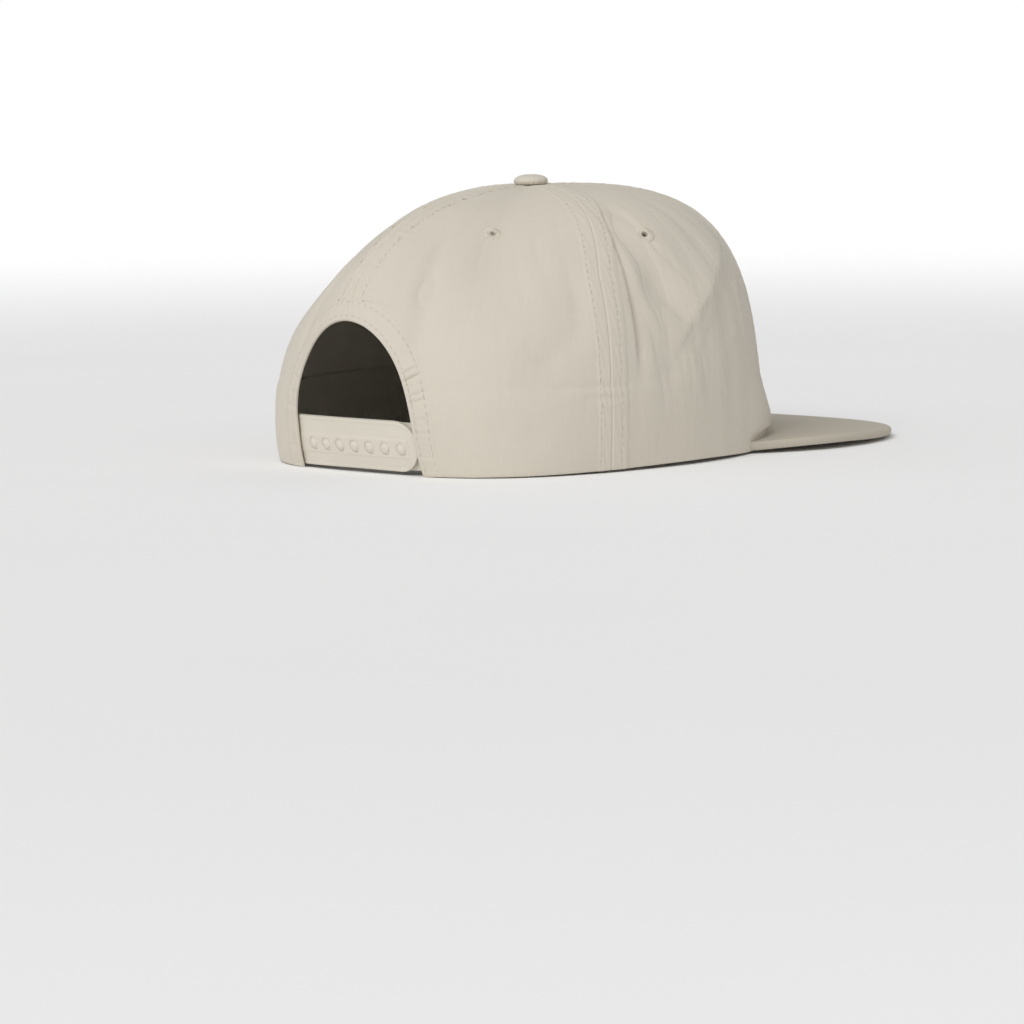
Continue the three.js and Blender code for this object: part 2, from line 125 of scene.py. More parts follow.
def smooth(x):
    """0 below 0, 1 above 1, and t t (3 - 2 t) between."""
    t = np.clip(x, 0, 1)
    return t * t * (3 - 2 * t)


def one_shape(*values):
    """Numbers and arrays as arrays of one shape."""
    return np.broadcast_arrays(*(np.asarray(value, float) for value in values))


def bell(away, width):
    """1 at 0, falling off on both sides as exp(-(away / width)^2)."""
    return np.exp(-((away / width) ** 2))


def from_front(turn):
    """Degrees away from the front on either side, 0 to 180."""
    around = np.abs(turn) % 360
    return np.where(around > 180, 360 - around, around)


def station_value(turn, name):
    """A cubic curve through the stations, level at both ends."""
    at = from_front(turn)
    value = STATIONS[name]
    slope = np.zeros(len(value))
    slope[1:-1] = (value[2:] - value[:-2]) / (STATION_TURNS[2:] - STATION_TURNS[:-2])
    k = np.clip(np.searchsorted(STATION_TURNS, at, side="left") - 1, 0, len(value) - 2)
    span = STATION_TURNS[k + 1] - STATION_TURNS[k]
    f = (at - STATION_TURNS[k]) / span
    ends = value[k] * (1 + 2 * f) * (1 - f) ** 2 + value[k + 1] * f * f * (3 - 2 * f)
    return ends + span * (slope[k] * f * (1 - f) ** 2 + slope[k + 1] * f * f * (f - 1))


def bare_crown(turn, rise):
    """Reach shrinks with the rise as (1 - rise^shoulder)^(1/round); the plan is an oval
    whose power grows towards the rim, and the apex leans forward."""
    turn, rise = one_shape(turn, rise)
    up = np.maximum(rise, 0)
    left = np.maximum(1 - up ** station_value(turn, "shoulder"), 0)
    left = left ** (1 / station_value(turn, "round"))
    swell = station_value(turn, "swell") * np.sin(np.pi * np.minimum(up, 1) ** 0.8)
    reach = left * (1 + swell - station_value(turn, "lean") * rise)
    c, s = np.cos(np.radians(turn)), np.sin(np.radians(turn))
    square = np.where(c < 0, REAR_SQUARENESS, FRONT_SQUARENESS)
    power = 2 + square * np.abs(c) * (1 - smooth(rise))
    radial = (np.abs(s) ** power + np.abs(c) ** power) ** (-1 / power)
    depth = RIM_FRONT + (RIM_REAR - RIM_FRONT) * smooth(0.5 - 0.5 * c)
    x = -reach * radial * RIM_HALF_WIDTH * s
    y = -reach * radial * depth * c - APEX_FORWARD * smooth(rise)
    return np.stack([x, y, CROWN_HEIGHT * rise], axis=-1)


def length(vectors):
    return np.linalg.norm(vectors, axis=-1)


def unit(vectors):
    return vectors / np.maximum(length(vectors), 1e-12)[..., None]


def walk(points):
    """Length along a line of points, from its first one."""
    return np.r_[0, np.cumsum(length(np.diff(points, axis=0)))]


def steps(count, start=0.0, end=1.0):
    return np.linspace(start, end, count + 1)


def outward(surface, turn, rise):
    """Upward step across sideways step of the surface, made one long."""
    low = np.maximum(rise - 0.0005, 0)
    around = surface(turn + 0.05, rise) - surface(turn - 0.05, rise)
    up = surface(turn, low + 0.001) - surface(turn, low)
    return unit(np.cross(up, around))


def crown_radius(turn, rise):
    """Level distance from the crown's own axis."""
    point = bare_crown(turn, rise)
    return np.hypot(point[..., 0], point[..., 1] + APEX_FORWARD * smooth(rise))


print("crown apex at", bare_crown(0, 1))

# %% [markdown]
# Thin nylon without a stiffener falls into soft folds. The main ones are the solids' own:
# a roll over the brim joint, and dents and ridges along short lines. Finer lines are added
# here. A cloth simulation would give folds too, but not the ones of this cap.

# %% Roll and folds
ROLL_DEPTH, ROLL_FOOT, ROLL_TOP, ROLL_END = 2.8 * MM, 4 * MM, 7 * MM, 29 * MM
ROLL_HALF_TURN, ROLL_FADE_TURN = 52, 14
FOLD_DEPTH = 2.5 * MM
FOLD_FADE, FOLD_FADE_SPAN = 0.85, 0.1
# Each line: turn and rise of one end and of the other, its width as a share of the crown's
# height, and its depth as a share of FOLD_DEPTH, below zero for a dent.
FOLDS = np.array([
    (106, 0.90, 106, 0.45, 0.07, -0.8),
    (99, 0.84, 94, 0.65, 0.07, -0.5),
    (94, 0.65, 85, 0.46, 0.07, -0.5),
    (104, 0.56, 94, 0.36, 0.06, -0.4),
    (62, 0.73, 82, 0.50, 0.08, 0.4),
    (164, 0.80, 157, 0.50, 0.15, -0.6),
    (145, 0.78, 138, 0.62, 0.10, -0.4),
    (120, 0.62, 130, 0.36, 0.10, -0.4),
])
# These have two widths, one behind the line and one ahead, so a crease can have a steep side.
FINE_FOLDS = np.array([
    (95.2, 0.97, 99.8, 0.935, 0.006, 0.020, -0.22),
    (99.8, 0.935, 103.2, 0.87, 0.006, 0.022, -0.34),
    (103.2, 0.87, 104.6, 0.79, 0.006, 0.022, -0.34),
    (104.6, 0.79, 104.9, 0.60, 0.006, 0.022, -0.30),
    (104.9, 0.60, 104.6, 0.44, 0.007, 0.026, -0.26),
    (104.6, 0.44, 104.6, 0.33, 0.012, 0.034, -0.12),
    (92.0, 0.95, 95.5, 0.89, 0.070, 0.040, -0.55),
    (95.5, 0.89, 96.8, 0.82, 0.055, 0.045, -0.40),
    (96.5, 0.86, 97.0, 0.80, 0.010, 0.050, -0.20),
    (97.0, 0.80, 96.2, 0.69, 0.012, 0.060, -0.24),
    (96.2, 0.69, 94.5, 0.634, 0.014, 0.060, -0.22),
    (94.5, 0.634, 88.5, 0.52, 0.014, 0.050, -0.18),
    (97.5, 0.84, 96.0, 0.62, 0.075, 0.150, -0.34),
    (98.0, 0.62, 94.0, 0.46, 0.070, 0.120, -0.22),
    (91.6, 0.86, 90.2, 0.78, 0.008, 0.016, -0.12),
    (48.5, 0.94, 50.5, 0.62, 0.016, 0.030, -0.24),
    (90.2, 0.78, 84, 0.652, 0.010, 0.020, -0.10),
    (80, 0.925, 92, 0.90, 0.016, 0.016, -0.10),
    (63, 0.720, 71, 0.652, 0.110, 0.016, 0.26),
    (71, 0.652, 77.5, 0.590, 0.120, 0.015, 0.34),
    (77.5, 0.590, 84.0, 0.510, 0.120, 0.016, 0.30),
    (84.0, 0.510, 88.0, 0.450, 0.090, 0.024, 0.12),
    (64, 0.650, 71, 0.580, 0.022, 0.070, -0.26),
    (71, 0.580, 80, 0.450, 0.024, 0.080, -0.22),
    (53, 0.67, 59, 0.60, 0.018, 0.012, 0.16),
    (59, 0.60, 59.8, 0.46, 0.018, 0.012, 0.14),
    (66, 0.46, 73, 0.37, 0.020, 0.020, 0.10),
    (99.0, 0.66, 95.5, 0.48, 0.010, 0.018, -0.09),
    (101.5, 0.58, 98.5, 0.42, 0.010, 0.018, -0.08),
    (87.5, 0.42, 85, 0.25, 0.013, 0.013, 0.07),
    (84, 0.40, 81.5, 0.24, 0.013, 0.013, -0.08),
    (76, 0.35, 72.8, 0.21, 0.013, 0.013, 0.08),
    (99.2, 0.42, 97.2, 0.235, 0.013, 0.013, -0.08),
    (162, 0.79, 160.4, 0.668, 0.040, 0.035, -0.44),
    (160.4, 0.668, 159.5, 0.50, 0.045, 0.045, -0.46),
    (153, 0.70, 151, 0.50, 0.050, 0.050, 0.12),
    (137.8, 0.18, 132, 0.15, 0.060, 0.060, -0.16),
    (124, 0.47, 129, 0.40, 0.040, 0.040, -0.16),
    (119, 0.60, 122, 0.46, 0.040, 0.040, -0.12),
    (131, 0.80, 127, 0.64, 0.022, 0.022, -0.08),
    (137, 0.76, 134, 0.62, 0.022, 0.022, -0.06),
    (149.8, 0.81, 149.2, 0.75, 0.010, 0.010, -0.07),
    (108.5, 0.300, 126, 0.312, 0.010, 0.010, -0.14),
    (108.5, 0.262, 119, 0.268, 0.009, 0.009, -0.10),
    (109, 0.235, 118, 0.236, 0.008, 0.008, 0.08),
])
CLOTH_PER_DEGREE = (RIM_HALF_WIDTH + RIM_REAR) * 0.5 * math.radians(1)


def fold_relief(turn, rise, lines):
    """Sum of soft lines on the unrolled cloth: depth times exp(-(distance / width)^2)."""
    scale = np.array([CLOTH_PER_DEGREE, CROWN_HEIGHT])
    here = np.stack([from_front(turn), rise], axis=-1) * scale
    out = 0
    for line in lines:
        start, run = line[0:2] * scale, (line[2:4] - line[0:2]) * scale
        away = here - start
        distance = length(away - np.clip(away @ run / (run @ run), 0, 1)[..., None] * run)
        behind = (away[..., 0] * run[1] - away[..., 1] * run[0]) * run[1] > 0
        width = np.where(behind, line[4], line[-2]) * CROWN_HEIGHT
        out = out + line[-1] * bell(distance, width)
    fade = 1 - smooth((rise - FOLD_FADE) / FOLD_FADE_SPAN)
    return out * fade * FOLD_DEPTH


def main_relief(turn, rise):
    """The roll over the brim joint and the main folds, as in the solids."""
    turn, rise = one_shape(turn, rise)
    height = rise * CROWN_HEIGHT
    up = smooth((height - ROLL_FOOT) / (ROLL_TOP - ROLL_FOOT))
    down = 1 - smooth((height - ROLL_TOP) / (ROLL_END - ROLL_TOP))
    around = 1 - smooth((from_front(turn) - ROLL_HALF_TURN) / ROLL_FADE_TURN)
    return ROLL_DEPTH * up * down * around + fold_relief(turn, rise, FOLDS)


def plain_cloth(turn, rise):
    """The smooth crown moved out along its normal by the main relief."""
    turn, rise = one_shape(turn, rise)
    normal = outward(bare_crown, turn, rise)
    return bare_crown(turn, rise) + normal * main_relief(turn, rise)[..., None]


print("roll stands out", round(float(main_relief(0, 0.07)) / MM, 2), "mm")

# %% [markdown]
# The panels meet at seams. Each seam is pressed open and stitched down on both sides, so
# it shows as a fine groove in a slightly raised band, with little puckers at the stitches.
# The sweatband's upper edge shows through the cloth as a faint step, and the rest of the
# cloth has shallow ripples, drawn from a seeded generator so that each run is the same.

# %% Seams, ripples and the cloth's outer face
RIM_SAG, RIM_SAG_TURN = 1.3 * MM, 59
SEAM_ROW = 4.8 * MM
SEAM_BAND, SEAM_GROOVE, SEAM_LIP, ROW_DIP = 0.30 * MM, 0.40 * MM, 0.03 * MM, 0.11 * MM
BAND_STEP, BAND_STEP_SPAN, BAND_FADE_HEIGHT = 0.48 * MM, 2.6 * MM, 50 * MM
EDGE_ROUND = 0.6 * MM
RIPPLE_COUNT, STREAK_COUNT, STREAK_SHARE = 24, 22, 0.22
draw = np.random.default_rng(11)
RIPPLE_AROUND = np.r_[draw.integers(16, 46, RIPPLE_COUNT), draw.integers(60, 150, STREAK_COUNT)]
RIPPLE_UP = np.r_[draw.uniform(-42, 42, RIPPLE_COUNT), draw.uniform(-160, 160, STREAK_COUNT)]
RIPPLE_PHASE = draw.uniform(0, 2 * np.pi, RIPPLE_COUNT + STREAK_COUNT)
RIPPLE_SIZE = draw.uniform(0.3, 1, RIPPLE_COUNT + STREAK_COUNT) * 0.050 * MM
RIPPLE_SIZE[RIPPLE_COUNT:] *= STREAK_SHARE
PUCKER_WAVES = draw.uniform(0.75, 1.4, 3) * 2 * np.pi / (6 * MM)


def side_seam_turn(rise):
    """The side seam runs straight up, then a little forwards near the top."""
    lean = np.clip((rise * CROWN_HEIGHT - 70 * MM) / (30 * MM), 0, 1) ** 1.3
    return SIDE_SEAM_TURN - 6 * lean


def level_seam(turn):
    """A seam at the same turn from the rim to the apex."""
    return lambda rise: turn + 0 * rise


FRONT_SEAM, BACK_SEAM = level_seam(FRONT_SEAM_TURN), level_seam(BACK_SEAM_TURN)
# For each seam: the height of its puckers, how far they reach, and how much wider the band
# is on its front side; the last two in millimetres.
SEAM_GATHERS = [
    (FRONT_SEAM, 0.09 * MM, 2.0, 0),
    (side_seam_turn, 0.10 * MM, 1.6, 2.0),
    (BACK_SEAM, 0.30 * MM, 3.2, 0),
]
BAND_EDGE_RISES, BAND_EDGE_TURNS = [0.42, 0.80, 0.90, 0.97], [105.2, 105.0, 102.8, 97]


def per_degree(turn, rise):
    """Metres of cloth for each degree of turn."""
    return length(bare_crown(turn + 0.5, rise) - bare_crown(turn - 0.5, rise))


def band_hold(turn, rise):
    """1 on the stiff band of the side seam, 0 past its edges, where the folds begin."""
    behind = (from_front(turn) - side_seam_turn(rise)) * per_degree(turn, rise)
    edge = np.interp(rise, BAND_EDGE_RISES, BAND_EDGE_TURNS)
    ahead = (edge - from_front(turn)) * per_degree(turn, rise)
    return (1 - smooth((behind - 5 * MM) / (7 * MM))) * (1 - smooth(ahead / (1.5 * MM)))


def seam_relief(turn, rise):
    """Groove with a lip on its front side, raised band, a dip at each stitch row, puckers."""
    radius = crown_radius(turn, rise)
    along = rise * CROWN_HEIGHT - radius
    pucker = sum(np.sin(wave * along + wave) for wave in PUCKER_WAVES) / 3
    out = 0
    for line, size, reach, wider in SEAM_GATHERS:
        ahead = (line(rise) - from_front(turn)) * per_degree(turn, rise)
        away = np.abs(ahead)
        beside = (away - SEAM_ROW) / MM
        crease = np.sin(2 * np.pi * (ahead / (2.7 * MM) + along / (13 * MM)))
        out = out - SEAM_GROOVE * bell(away, 0.30 * MM)
        out = out + SEAM_LIP * bell(ahead - 0.75 * MM, 0.5 * MM)
        out = out + SEAM_BAND * (1 - smooth((beside - 0.2 - wider * (ahead > 0)) / 1.1))
        out = out - ROW_DIP * bell(beside, 0.36)
        out = out + size * pucker * bell(beside, reach)
        out = out + 0.50 * size * crease * bell(beside + 1, reach * 1.5)
    return out * smooth((radius - 5 * MM) / (7 * MM))


def ripple_relief(turn, rise):
    """A sum of sines with a whole number of waves around, quieter at the back and rim."""
    phase = np.radians(turn)[..., None] * RIPPLE_AROUND
    phase = phase + (rise * CROWN_HEIGHT)[..., None] * RIPPLE_UP + RIPPLE_PHASE
    waves = (np.sin(phase) * RIPPLE_SIZE).sum(axis=-1)
    calm = 1 - 0.45 * smooth((from_front(turn) - 104) / 16)
    held = 0.4 + 0.6 * smooth((rise * CROWN_HEIGHT - 8 * MM) / (24 * MM))
    return waves * calm * held * (1 - smooth((rise - 0.88) / 0.1))


def band_relief(turn, rise):
    """The cloth steps in by a fraction of a millimetre above the sweatband."""
    step = smooth((rise * CROWN_HEIGHT - SWEATBAND_HEIGHT) / BAND_STEP_SPAN)
    back = smooth((1 - rise * CROWN_HEIGHT / BAND_FADE_HEIGHT) * 2)
    return -BAND_STEP * step * back * smooth((from_front(turn) - 80) / 25)


def edge_drop(inside, radius):
    """How far a round edge falls away at a distance inside the edge."""
    under = np.clip(1 - inside / radius, 0, 1)
    return radius * (1 - np.sqrt(1 - under * under))


def cloth_relief(turn, rise):
    """Everything that moves the outer face off the smooth crown."""
    held = band_hold(turn, rise) * fold_relief(turn, rise, FOLDS)
    fine = fold_relief(turn, rise, FINE_FOLDS) - held
    fine = fine + seam_relief(turn, rise) + ripple_relief(turn, rise) + band_relief(turn, rise)
    return main_relief(turn, rise) + fine - edge_drop(rise * CROWN_HEIGHT, EDGE_ROUND)


def rim_sag(turn, rise):
    """The rim hangs a little lower where it leaves the brim's corners."""
    around = from_front(turn)
    low = 1 - smooth(rise * CROWN_HEIGHT / (20 * MM))
    return RIM_SAG * low * bell(around - RIM_SAG_TURN, np.where(around < RIM_SAG_TURN, 7, 17))


def cloth(turn, rise):
    """The outer face of the cloth, seams and ripples included."""
    turn, rise = one_shape(turn, rise)
    normal = outward(bare_crown, turn, rise)
    point = bare_crown(turn, rise) + normal * cloth_relief(turn, rise)[..., None]
    point[..., 2] -= rim_sag(turn, rise)
    return point


def below(surface, turn, rise, depth):
    """A point some depth inside a surface; at the rim it keeps the rim's level."""
    point = surface(turn, rise)
    inner = point - outward(plain_cloth, turn, rise) * np.asarray(depth)[..., None]
    inner[..., 2] = np.where(rise <= 0, point[..., 2], inner[..., 2])
    return inner


groove = seam_relief(np.array(float(FRONT_SEAM_TURN)), np.array(0.4))
print("seam groove", round(float(groove) / MM, 2), "mm")

# %% [markdown]
# Standing by itself, the cap tips forwards until the brim's tip and the back of the rim
# touch the surface. Everything here is worked out with the rim level, and one function
# then tips it and moves it to where the solids are: the brim's tip and the button's top
# give that move.

# %% The resting place
TIP_DROP = (BRIM_LENGTH + BRIM_CROSSING) * math.sin(BRIM_PITCH)
TILT = math.asin(TIP_DROP / (RIM_REAR + RIM_FRONT + BRIM_LENGTH))
TIP_TURN = np.array([
    [1, 0, 0],
    [0, math.cos(TILT), math.sin(TILT)],
    [0, -math.sin(TILT), math.cos(TILT)],
])


def pitched(points):
    """Brim points, drawn level, are dropped about the line where it crosses the rim."""
    c, s = math.cos(BRIM_PITCH), math.sin(BRIM_PITCH)
    y = points[..., 1] + (RIM_FRONT - BRIM_CROSSING)
    z = points[..., 2]
    level = -(RIM_FRONT - BRIM_CROSSING)
    return np.stack([points[..., 0], y * c - z * s + level, y * s + z * c], axis=-1)


brim_tip = pitched(np.array([0, -(RIM_FRONT + BRIM_LENGTH), BRIM_WALL - BRIM_EDGE_ROUND]))
button_top = np.array([0, -APEX_FORWARD, CROWN_HEIGHT + CLEARANCE + BUTTON_HEIGHT])
REST_MOVE = np.array([
    0,
    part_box("brim")[0].y - (TIP_TURN @ brim_tip)[1],
    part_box("top_button")[1].z - (TIP_TURN @ button_top)[2],
])


def at_rest(points):
    """Tips the points about X and moves them to the solids' place."""
    return points @ TIP_TURN.T + REST_MOVE


print("tilt", round(math.degrees(TILT), 3), "degrees, move", REST_MOVE.round(5))

# %% [markdown]
# A piece of cloth is two sheets of points, its outer and its inner face, closed by a wall
# wherever the outer sheet has an open edge. A Solidify modifier does much the same, but
# here both faces are known, and the wall also closes every hole that is cut first.

# %% Mesh helpers
def sheet_quads(columns, rows):
    """Quads of a grid whose first index runs with the turn and whose second runs up."""
    at = np.arange(columns * rows).reshape(columns, rows)
    corners = [at[:-1, :-1], at[:-1, 1:], at[1:, 1:], at[1:, :-1]]
    return np.stack(corners, axis=-1).reshape(-1, 4)


def close_sheets(outer, inner, quads):
    """Both faces, the inner one reversed, and a wall on each edge that one quad uses."""
    used, quads = np.unique(quads, return_inverse=True)
    quads = quads.reshape(-1, 4)
    count = len(used)
    starts, ends = quads.ravel(), np.roll(quads, -1, axis=1).ravel()
    open_edge = ~np.isin(starts * count + ends, ends * count + starts)
    a, b = starts[open_edge], ends[open_edge]
    walls = np.stack([b, a, a + count, b + count], axis=-1)
    points = np.concatenate([outer[used], inner[used]])
    return points, np.concatenate([quads, quads[:, ::-1] + count, walls]), used


def cloth_uv(grid):
    """Metres along the cloth: across from the middle column, and up from the first row."""
    across = np.cumsum(length(np.diff(grid, axis=0, prepend=grid[:1])), axis=0)
    up = np.cumsum(length(np.diff(grid, axis=1, prepend=grid[:, :1])), axis=1)
    across = across - across[len(across) // 2]
    return np.stack([across, up], axis=-1).reshape(-1, 2)


def add_object(name, data):
    """An object in the scene, at the origin."""
    made = bpy.data.objects.new(name, data)
    bpy.context.scene.collection.objects.link(made)
    return made


def add_piece(name, points, faces, uv, material, nodes=(), sharp=40):
    """Puts points and faces into a smooth-shaded mesh on the cap, none below the floor."""
    placed = at_rest(points)
    placed[:, 2] = np.maximum(placed[:, 2], 0)
    mesh = bpy.data.meshes.new(name)
    mesh.from_pydata(placed.tolist(), [], [list(face) for face in faces])
    layer = mesh.uv_layers.new(name="cloth")
    corners = np.zeros(len(mesh.loops), int)
    mesh.loops.foreach_get("vertex_index", corners)
    layer.uv.foreach_set("vector", uv[corners].astype(np.float32).ravel())
    mesh.shade_smooth()
    mesh.set_sharp_from_angle(angle=math.radians(sharp))
    mesh.materials.append(material)
    piece = add_object(name, mesh)
    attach(piece, "root")
    if nodes:
        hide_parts(*nodes)
    print(name, len(mesh.polygons), "faces")


def add_shell(name, outer, inner, material, nodes=(), quads=None, sharp=40, uv=None):
    """A closed piece from two grids of points."""
    if quads is None:
        quads = sheet_quads(*outer.shape[:2])
    if uv is None:
        uv = cloth_uv(outer)
    points, faces, used = close_sheets(outer.reshape(-1, 3), inner.reshape(-1, 3), quads)
    both = np.concatenate([uv[used], uv[used]])
    add_piece(name, points, faces.tolist(), both, material, nodes, sharp)


def lathe(profile, angles, ridge=0):
    """Points of a profile of (radius, height) turned about Z, its radius grown by ridge."""
    radius, height = np.array(profile, float).T
    radius = radius + ridge + 0 * angles
    return np.stack([radius * np.cos(angles), radius * np.sin(angles), height + 0 * angles], axis=-1)


def lathe_faces(sides, rings, looped=False):
    """Quads round the axis. A looped profile joins its last ring to its first; any other
    one is closed by a flat face at each end."""
    at = np.arange(sides * rings).reshape(sides, rings)
    if looped:
        at = np.c_[at, at[:, :1]]
    beside = np.roll(at, -1, axis=0)
    corners = [at[:, :-1], beside[:, :-1], beside[:, 1:], at[:, 1:]]
    faces = np.stack(corners, axis=-1).reshape(-1, 4).tolist()
    return faces if looped else faces + [at[::-1, 0].tolist(), at[:, -1].tolist()]


def angles_round(sides):
    return np.linspace(0, 2 * np.pi, sides, endpoint=False)[:, None]


print("mesh helpers ready")

# %% [markdown]
# Materials are node trees, and so is the room's light. A small class wraps one output
# socket, so that sums can be written as Python expressions, and one method adds any node.
# Each material is then as short as its recipe: its colour, roughness and threads.

# %% Wires, graphs and finishes
class Wire:
    """One output socket; + - * add Math nodes."""

    def __init__(self, graph, socket):
        self.graph, self.socket = graph, socket

    def math(self, operation, *values):
        return self.graph.node("ShaderNodeMath", {"operation": operation}, dict(enumerate(values)))

    def sine(self):
        return self.math("SINE", self)


for sign, operation in (("add", "ADD"), ("sub", "SUBTRACT"), ("mul", "MULTIPLY")):
    setattr(Wire, f"__{sign}__", lambda self, other, of=operation: self.math(of, self, other))
    setattr(Wire, f"__r{sign}__", lambda self, other, of=operation: self.math(of, other, self))


class Graph:
    """A node tree; node() adds a node with its settings first and then its sockets."""

    def __init__(self, tree):
        self.tree = tree

    def plug(self, socket, value):
        if isinstance(value, Wire):
            self.tree.links.new(value.socket, socket)
        else:
            socket.default_value = value

    def node(self, kind, settings, sockets, output=0):
        node = self.tree.nodes.new(kind)
        for name, value in settings.items():
            setattr(node, name, value)
        for name, value in sockets.items():
            self.plug(node.inputs[name], value)
        return Wire(self, node.outputs[output])

    def noise(self, vector, scale, detail):
        sockets = {"Vector": vector, "Scale": scale, "Detail": detail}
        return self.node("ShaderNodeTexNoise", {}, sockets)

    def stretched(self, vector, scale):
        return self.node("ShaderNodeMapping", {}, {"Vector": vector, "Scale": scale})

    def blend(self, share, first, second):
        """A colour between two; sockets 0, 6 and 7 are the factor and both colours."""
        sockets = {0: share, 6: first, 7: second}
        return self.node("ShaderNodeMix", {"data_type": "RGBA"}, sockets, 2)

    def bump(self, height, distance, *under):
        sockets = {"Height": height, "Distance": distance, "Strength": 1.0}
        return self.node("ShaderNodeBump", {}, sockets | {"Normal": wire for wire in under})

    def along_cloth(self):
        """The place on the cloth in metres, as a vector, across and up."""
        place = self.node("ShaderNodeUVMap", {"uv_map": "cloth"}, {})
        parts = [self.node("ShaderNodeSeparateXYZ", {}, {0: place}, k) for k in (0, 1)]
        return place, *parts


class Finish(Graph):
    """A material, whose own shader takes the numbers given and the wires fed to it."""

    def __init__(self, name, **numbers):
        self.material = bpy.data.materials.new(name)
        self.material.use_nodes = True
        super().__init__(self.material.node_tree)
        self.feed(**numbers)

    def feed(self, **values):
        shader = self.tree.nodes["Principled BSDF"]
        for socket, value in values.items():
            self.plug(shader.inputs[socket.replace("_", " ")], value)
        return self.material


print("wires and graphs ready")

# %% [markdown]
# The cap's nylon is a very fine plain weave, matt, with a little sheen at grazing angles.
# Threads that go over and under each other make a checker of tiny bumps: the product of
# two sines, one across and one up the cloth. Over it lie a fine crinkle and a faint
# unevenness of the dye. An image could show the same, but has only one size.

# %% Woven cloth
def stone(red, green, blue, share=1.0):
    """A colour given as the screen shows it, made linear and scaled by a share."""
    linear = [((value / 255 + 0.055) / 1.055) ** 2.4 * share for value in (red, green, blue)]
    return (*linear, 1.0)


CLOTH_COLOURS = stone(219, 212, 198), stone(204, 196, 182)
# The brim is the same nylon, made darker: painted shade for the shadow the crown casts on the brim.
BRIM_PAINTED_SHADE_COLOURS = stone(212, 204, 188, 0.89), stone(194, 186, 170, 0.86)


def woven(name, light, dark, pitch, thread_height, crinkle, roughness):
    """Checker of bumps sin(pi u / pitch) sin(pi v / pitch), noise drawn out along the weft
    and the warp, crinkle and uneven dye; noise scales are in waves a metre."""
    finish = Finish(name, Sheen_Weight=0.10, Sheen_Roughness=0.45, Specular_IOR_Level=0.25)
    place, u, v = finish.along_cloth()
    weave = (u * (math.pi / pitch)).sine() * (v * (math.pi / pitch)).sine()
    crinkled = finish.noise(finish.stretched(place, (1.0, 0.35, 1.0)), 160, 4)
    fine = finish.noise(place, 900, 2)
    dye = finish.noise(place, 24, 3)
    weft = finish.noise(finish.stretched(place, (0.07, 1.0, 1.0)), 1300, 2)
    warp = finish.noise(finish.stretched(place, (1.0, 0.05, 1.0)), 1300, 2)
    slub = weft * 0.5 + warp * 0.5
    shade = dye * 0.42 + slub * 0.40 + fine * 0.10 + weave * 0.04 + 0.04
    soft = finish.bump(crinkled, crinkle)
    threads = finish.bump(weave * 0.4 + fine * 0.5 + slub * 1.4, thread_height, soft)
    return finish.feed(
        Base_Color=finish.blend(shade, dark, light),
        Roughness=roughness + 0.10 * (fine - 0.5),
        Normal=threads,
    )


crown_nylon = woven("crown_nylon", *CLOTH_COLOURS, 0.30 * MM, 0.050 * MM, 0.32 * MM, 0.78)
# The brim's nylon takes the darker colours, which are painted shade.
brim_nylon_painted_shade = woven("brim_nylon_painted_shade", *BRIM_PAINTED_SHADE_COLOURS, 0.34 * MM, 0.10 * MM, 0.16 * MM, 0.80)
hem_nylon = woven("hem_nylon", *CLOTH_COLOURS, 0.30 * MM, 0.050 * MM, 0.28 * MM, 0.78)
print("woven cloths ready")

# %% [markdown]
# The sweatband is a thicker cotton twill, whose raised lines run at a slant: one sine of
# the sum of both directions. The thread is a twisted cord, and the strap is moulded
# plastic with a satin skin, a little smoother than the cloth and never quite even.

# %% Twill, thread and plastic
RIB_PITCH, TWIST_PITCH = 0.9 * MM, 0.5 * MM


def twill_cotton():
    """Slanting ribs: sin of (u + v) over the rib pitch."""
    finish = Finish("sweatband_twill", Sheen_Weight=0.2, Sheen_Roughness=0.5, Specular_IOR_Level=0.2)
    place, u, v = finish.along_cloth()
    ribs = ((u + v) * (2 * math.pi / RIB_PITCH)).sine()
    fuzz = finish.noise(place, 1100, 3)
    shade = finish.noise(place, 30, 2) * 0.6 + ribs * 0.12 + 0.2
    return finish.feed(
        Base_Color=finish.blend(shade, stone(196, 189, 173), stone(211, 204, 189)),
        Roughness=0.86 + 0.08 * (fuzz - 0.5),
        Normal=finish.bump(ribs * 0.5 + fuzz * 0.8, 0.10 * MM),
    )


def twisted_thread():
    """Strands wind round each stitch: sin of the length plus the turn."""
    finish = Finish("stitch_thread", Sheen_Weight=0.15, Sheen_Roughness=0.4, Specular_IOR_Level=0.35)
    place, u, v = finish.along_cloth()
    twist = (u * (2 * math.pi / TWIST_PITCH) + v * 12).sine()
    tone = finish.noise(finish.node("ShaderNodeTexCoord", {}, {}, 3), 300, 2)
    shade = tone * 0.7 + twist * 0.1 + 0.15
    return finish.feed(
        Base_Color=finish.blend(shade, stone(206, 199, 184), stone(219, 213, 199)),
        Roughness=0.62 + 0.1 * (tone - 0.5),
        Normal=finish.bump(twist, 0.03 * MM),
    )


def moulded_plastic():
    """Satin skin: fine orange peel, faint flow marks along the strap, even colour."""
    finish = Finish("strap_plastic", Specular_IOR_Level=0.42)
    place = finish.along_cloth()[0]
    peel = finish.noise(place, 1500, 2)
    flow = finish.noise(finish.stretched(place, (0.25, 1.0, 1.0)), 160, 3)
    return finish.feed(
        Base_Color=finish.blend(flow, stone(214, 207, 193), stone(222, 216, 203)),
        Roughness=0.44 + 0.14 * (flow - 0.5) + 0.08 * (peel - 0.5),
        Normal=finish.bump(peel * 0.6 + flow * 0.8, 0.02 * MM),
    )


band_cotton = twill_cotton()
thread = twisted_thread()
plastic = moulded_plastic()
print("twill, thread and plastic ready")

# %% [markdown]
# Five panels make the crown: one wide one over the forehead, one over each ear and two at
# the back. Each is cut here as a grid between its two seams, with its rows in equal steps
# along the cloth. Rows in equal height would leave long thin faces on the flat top.

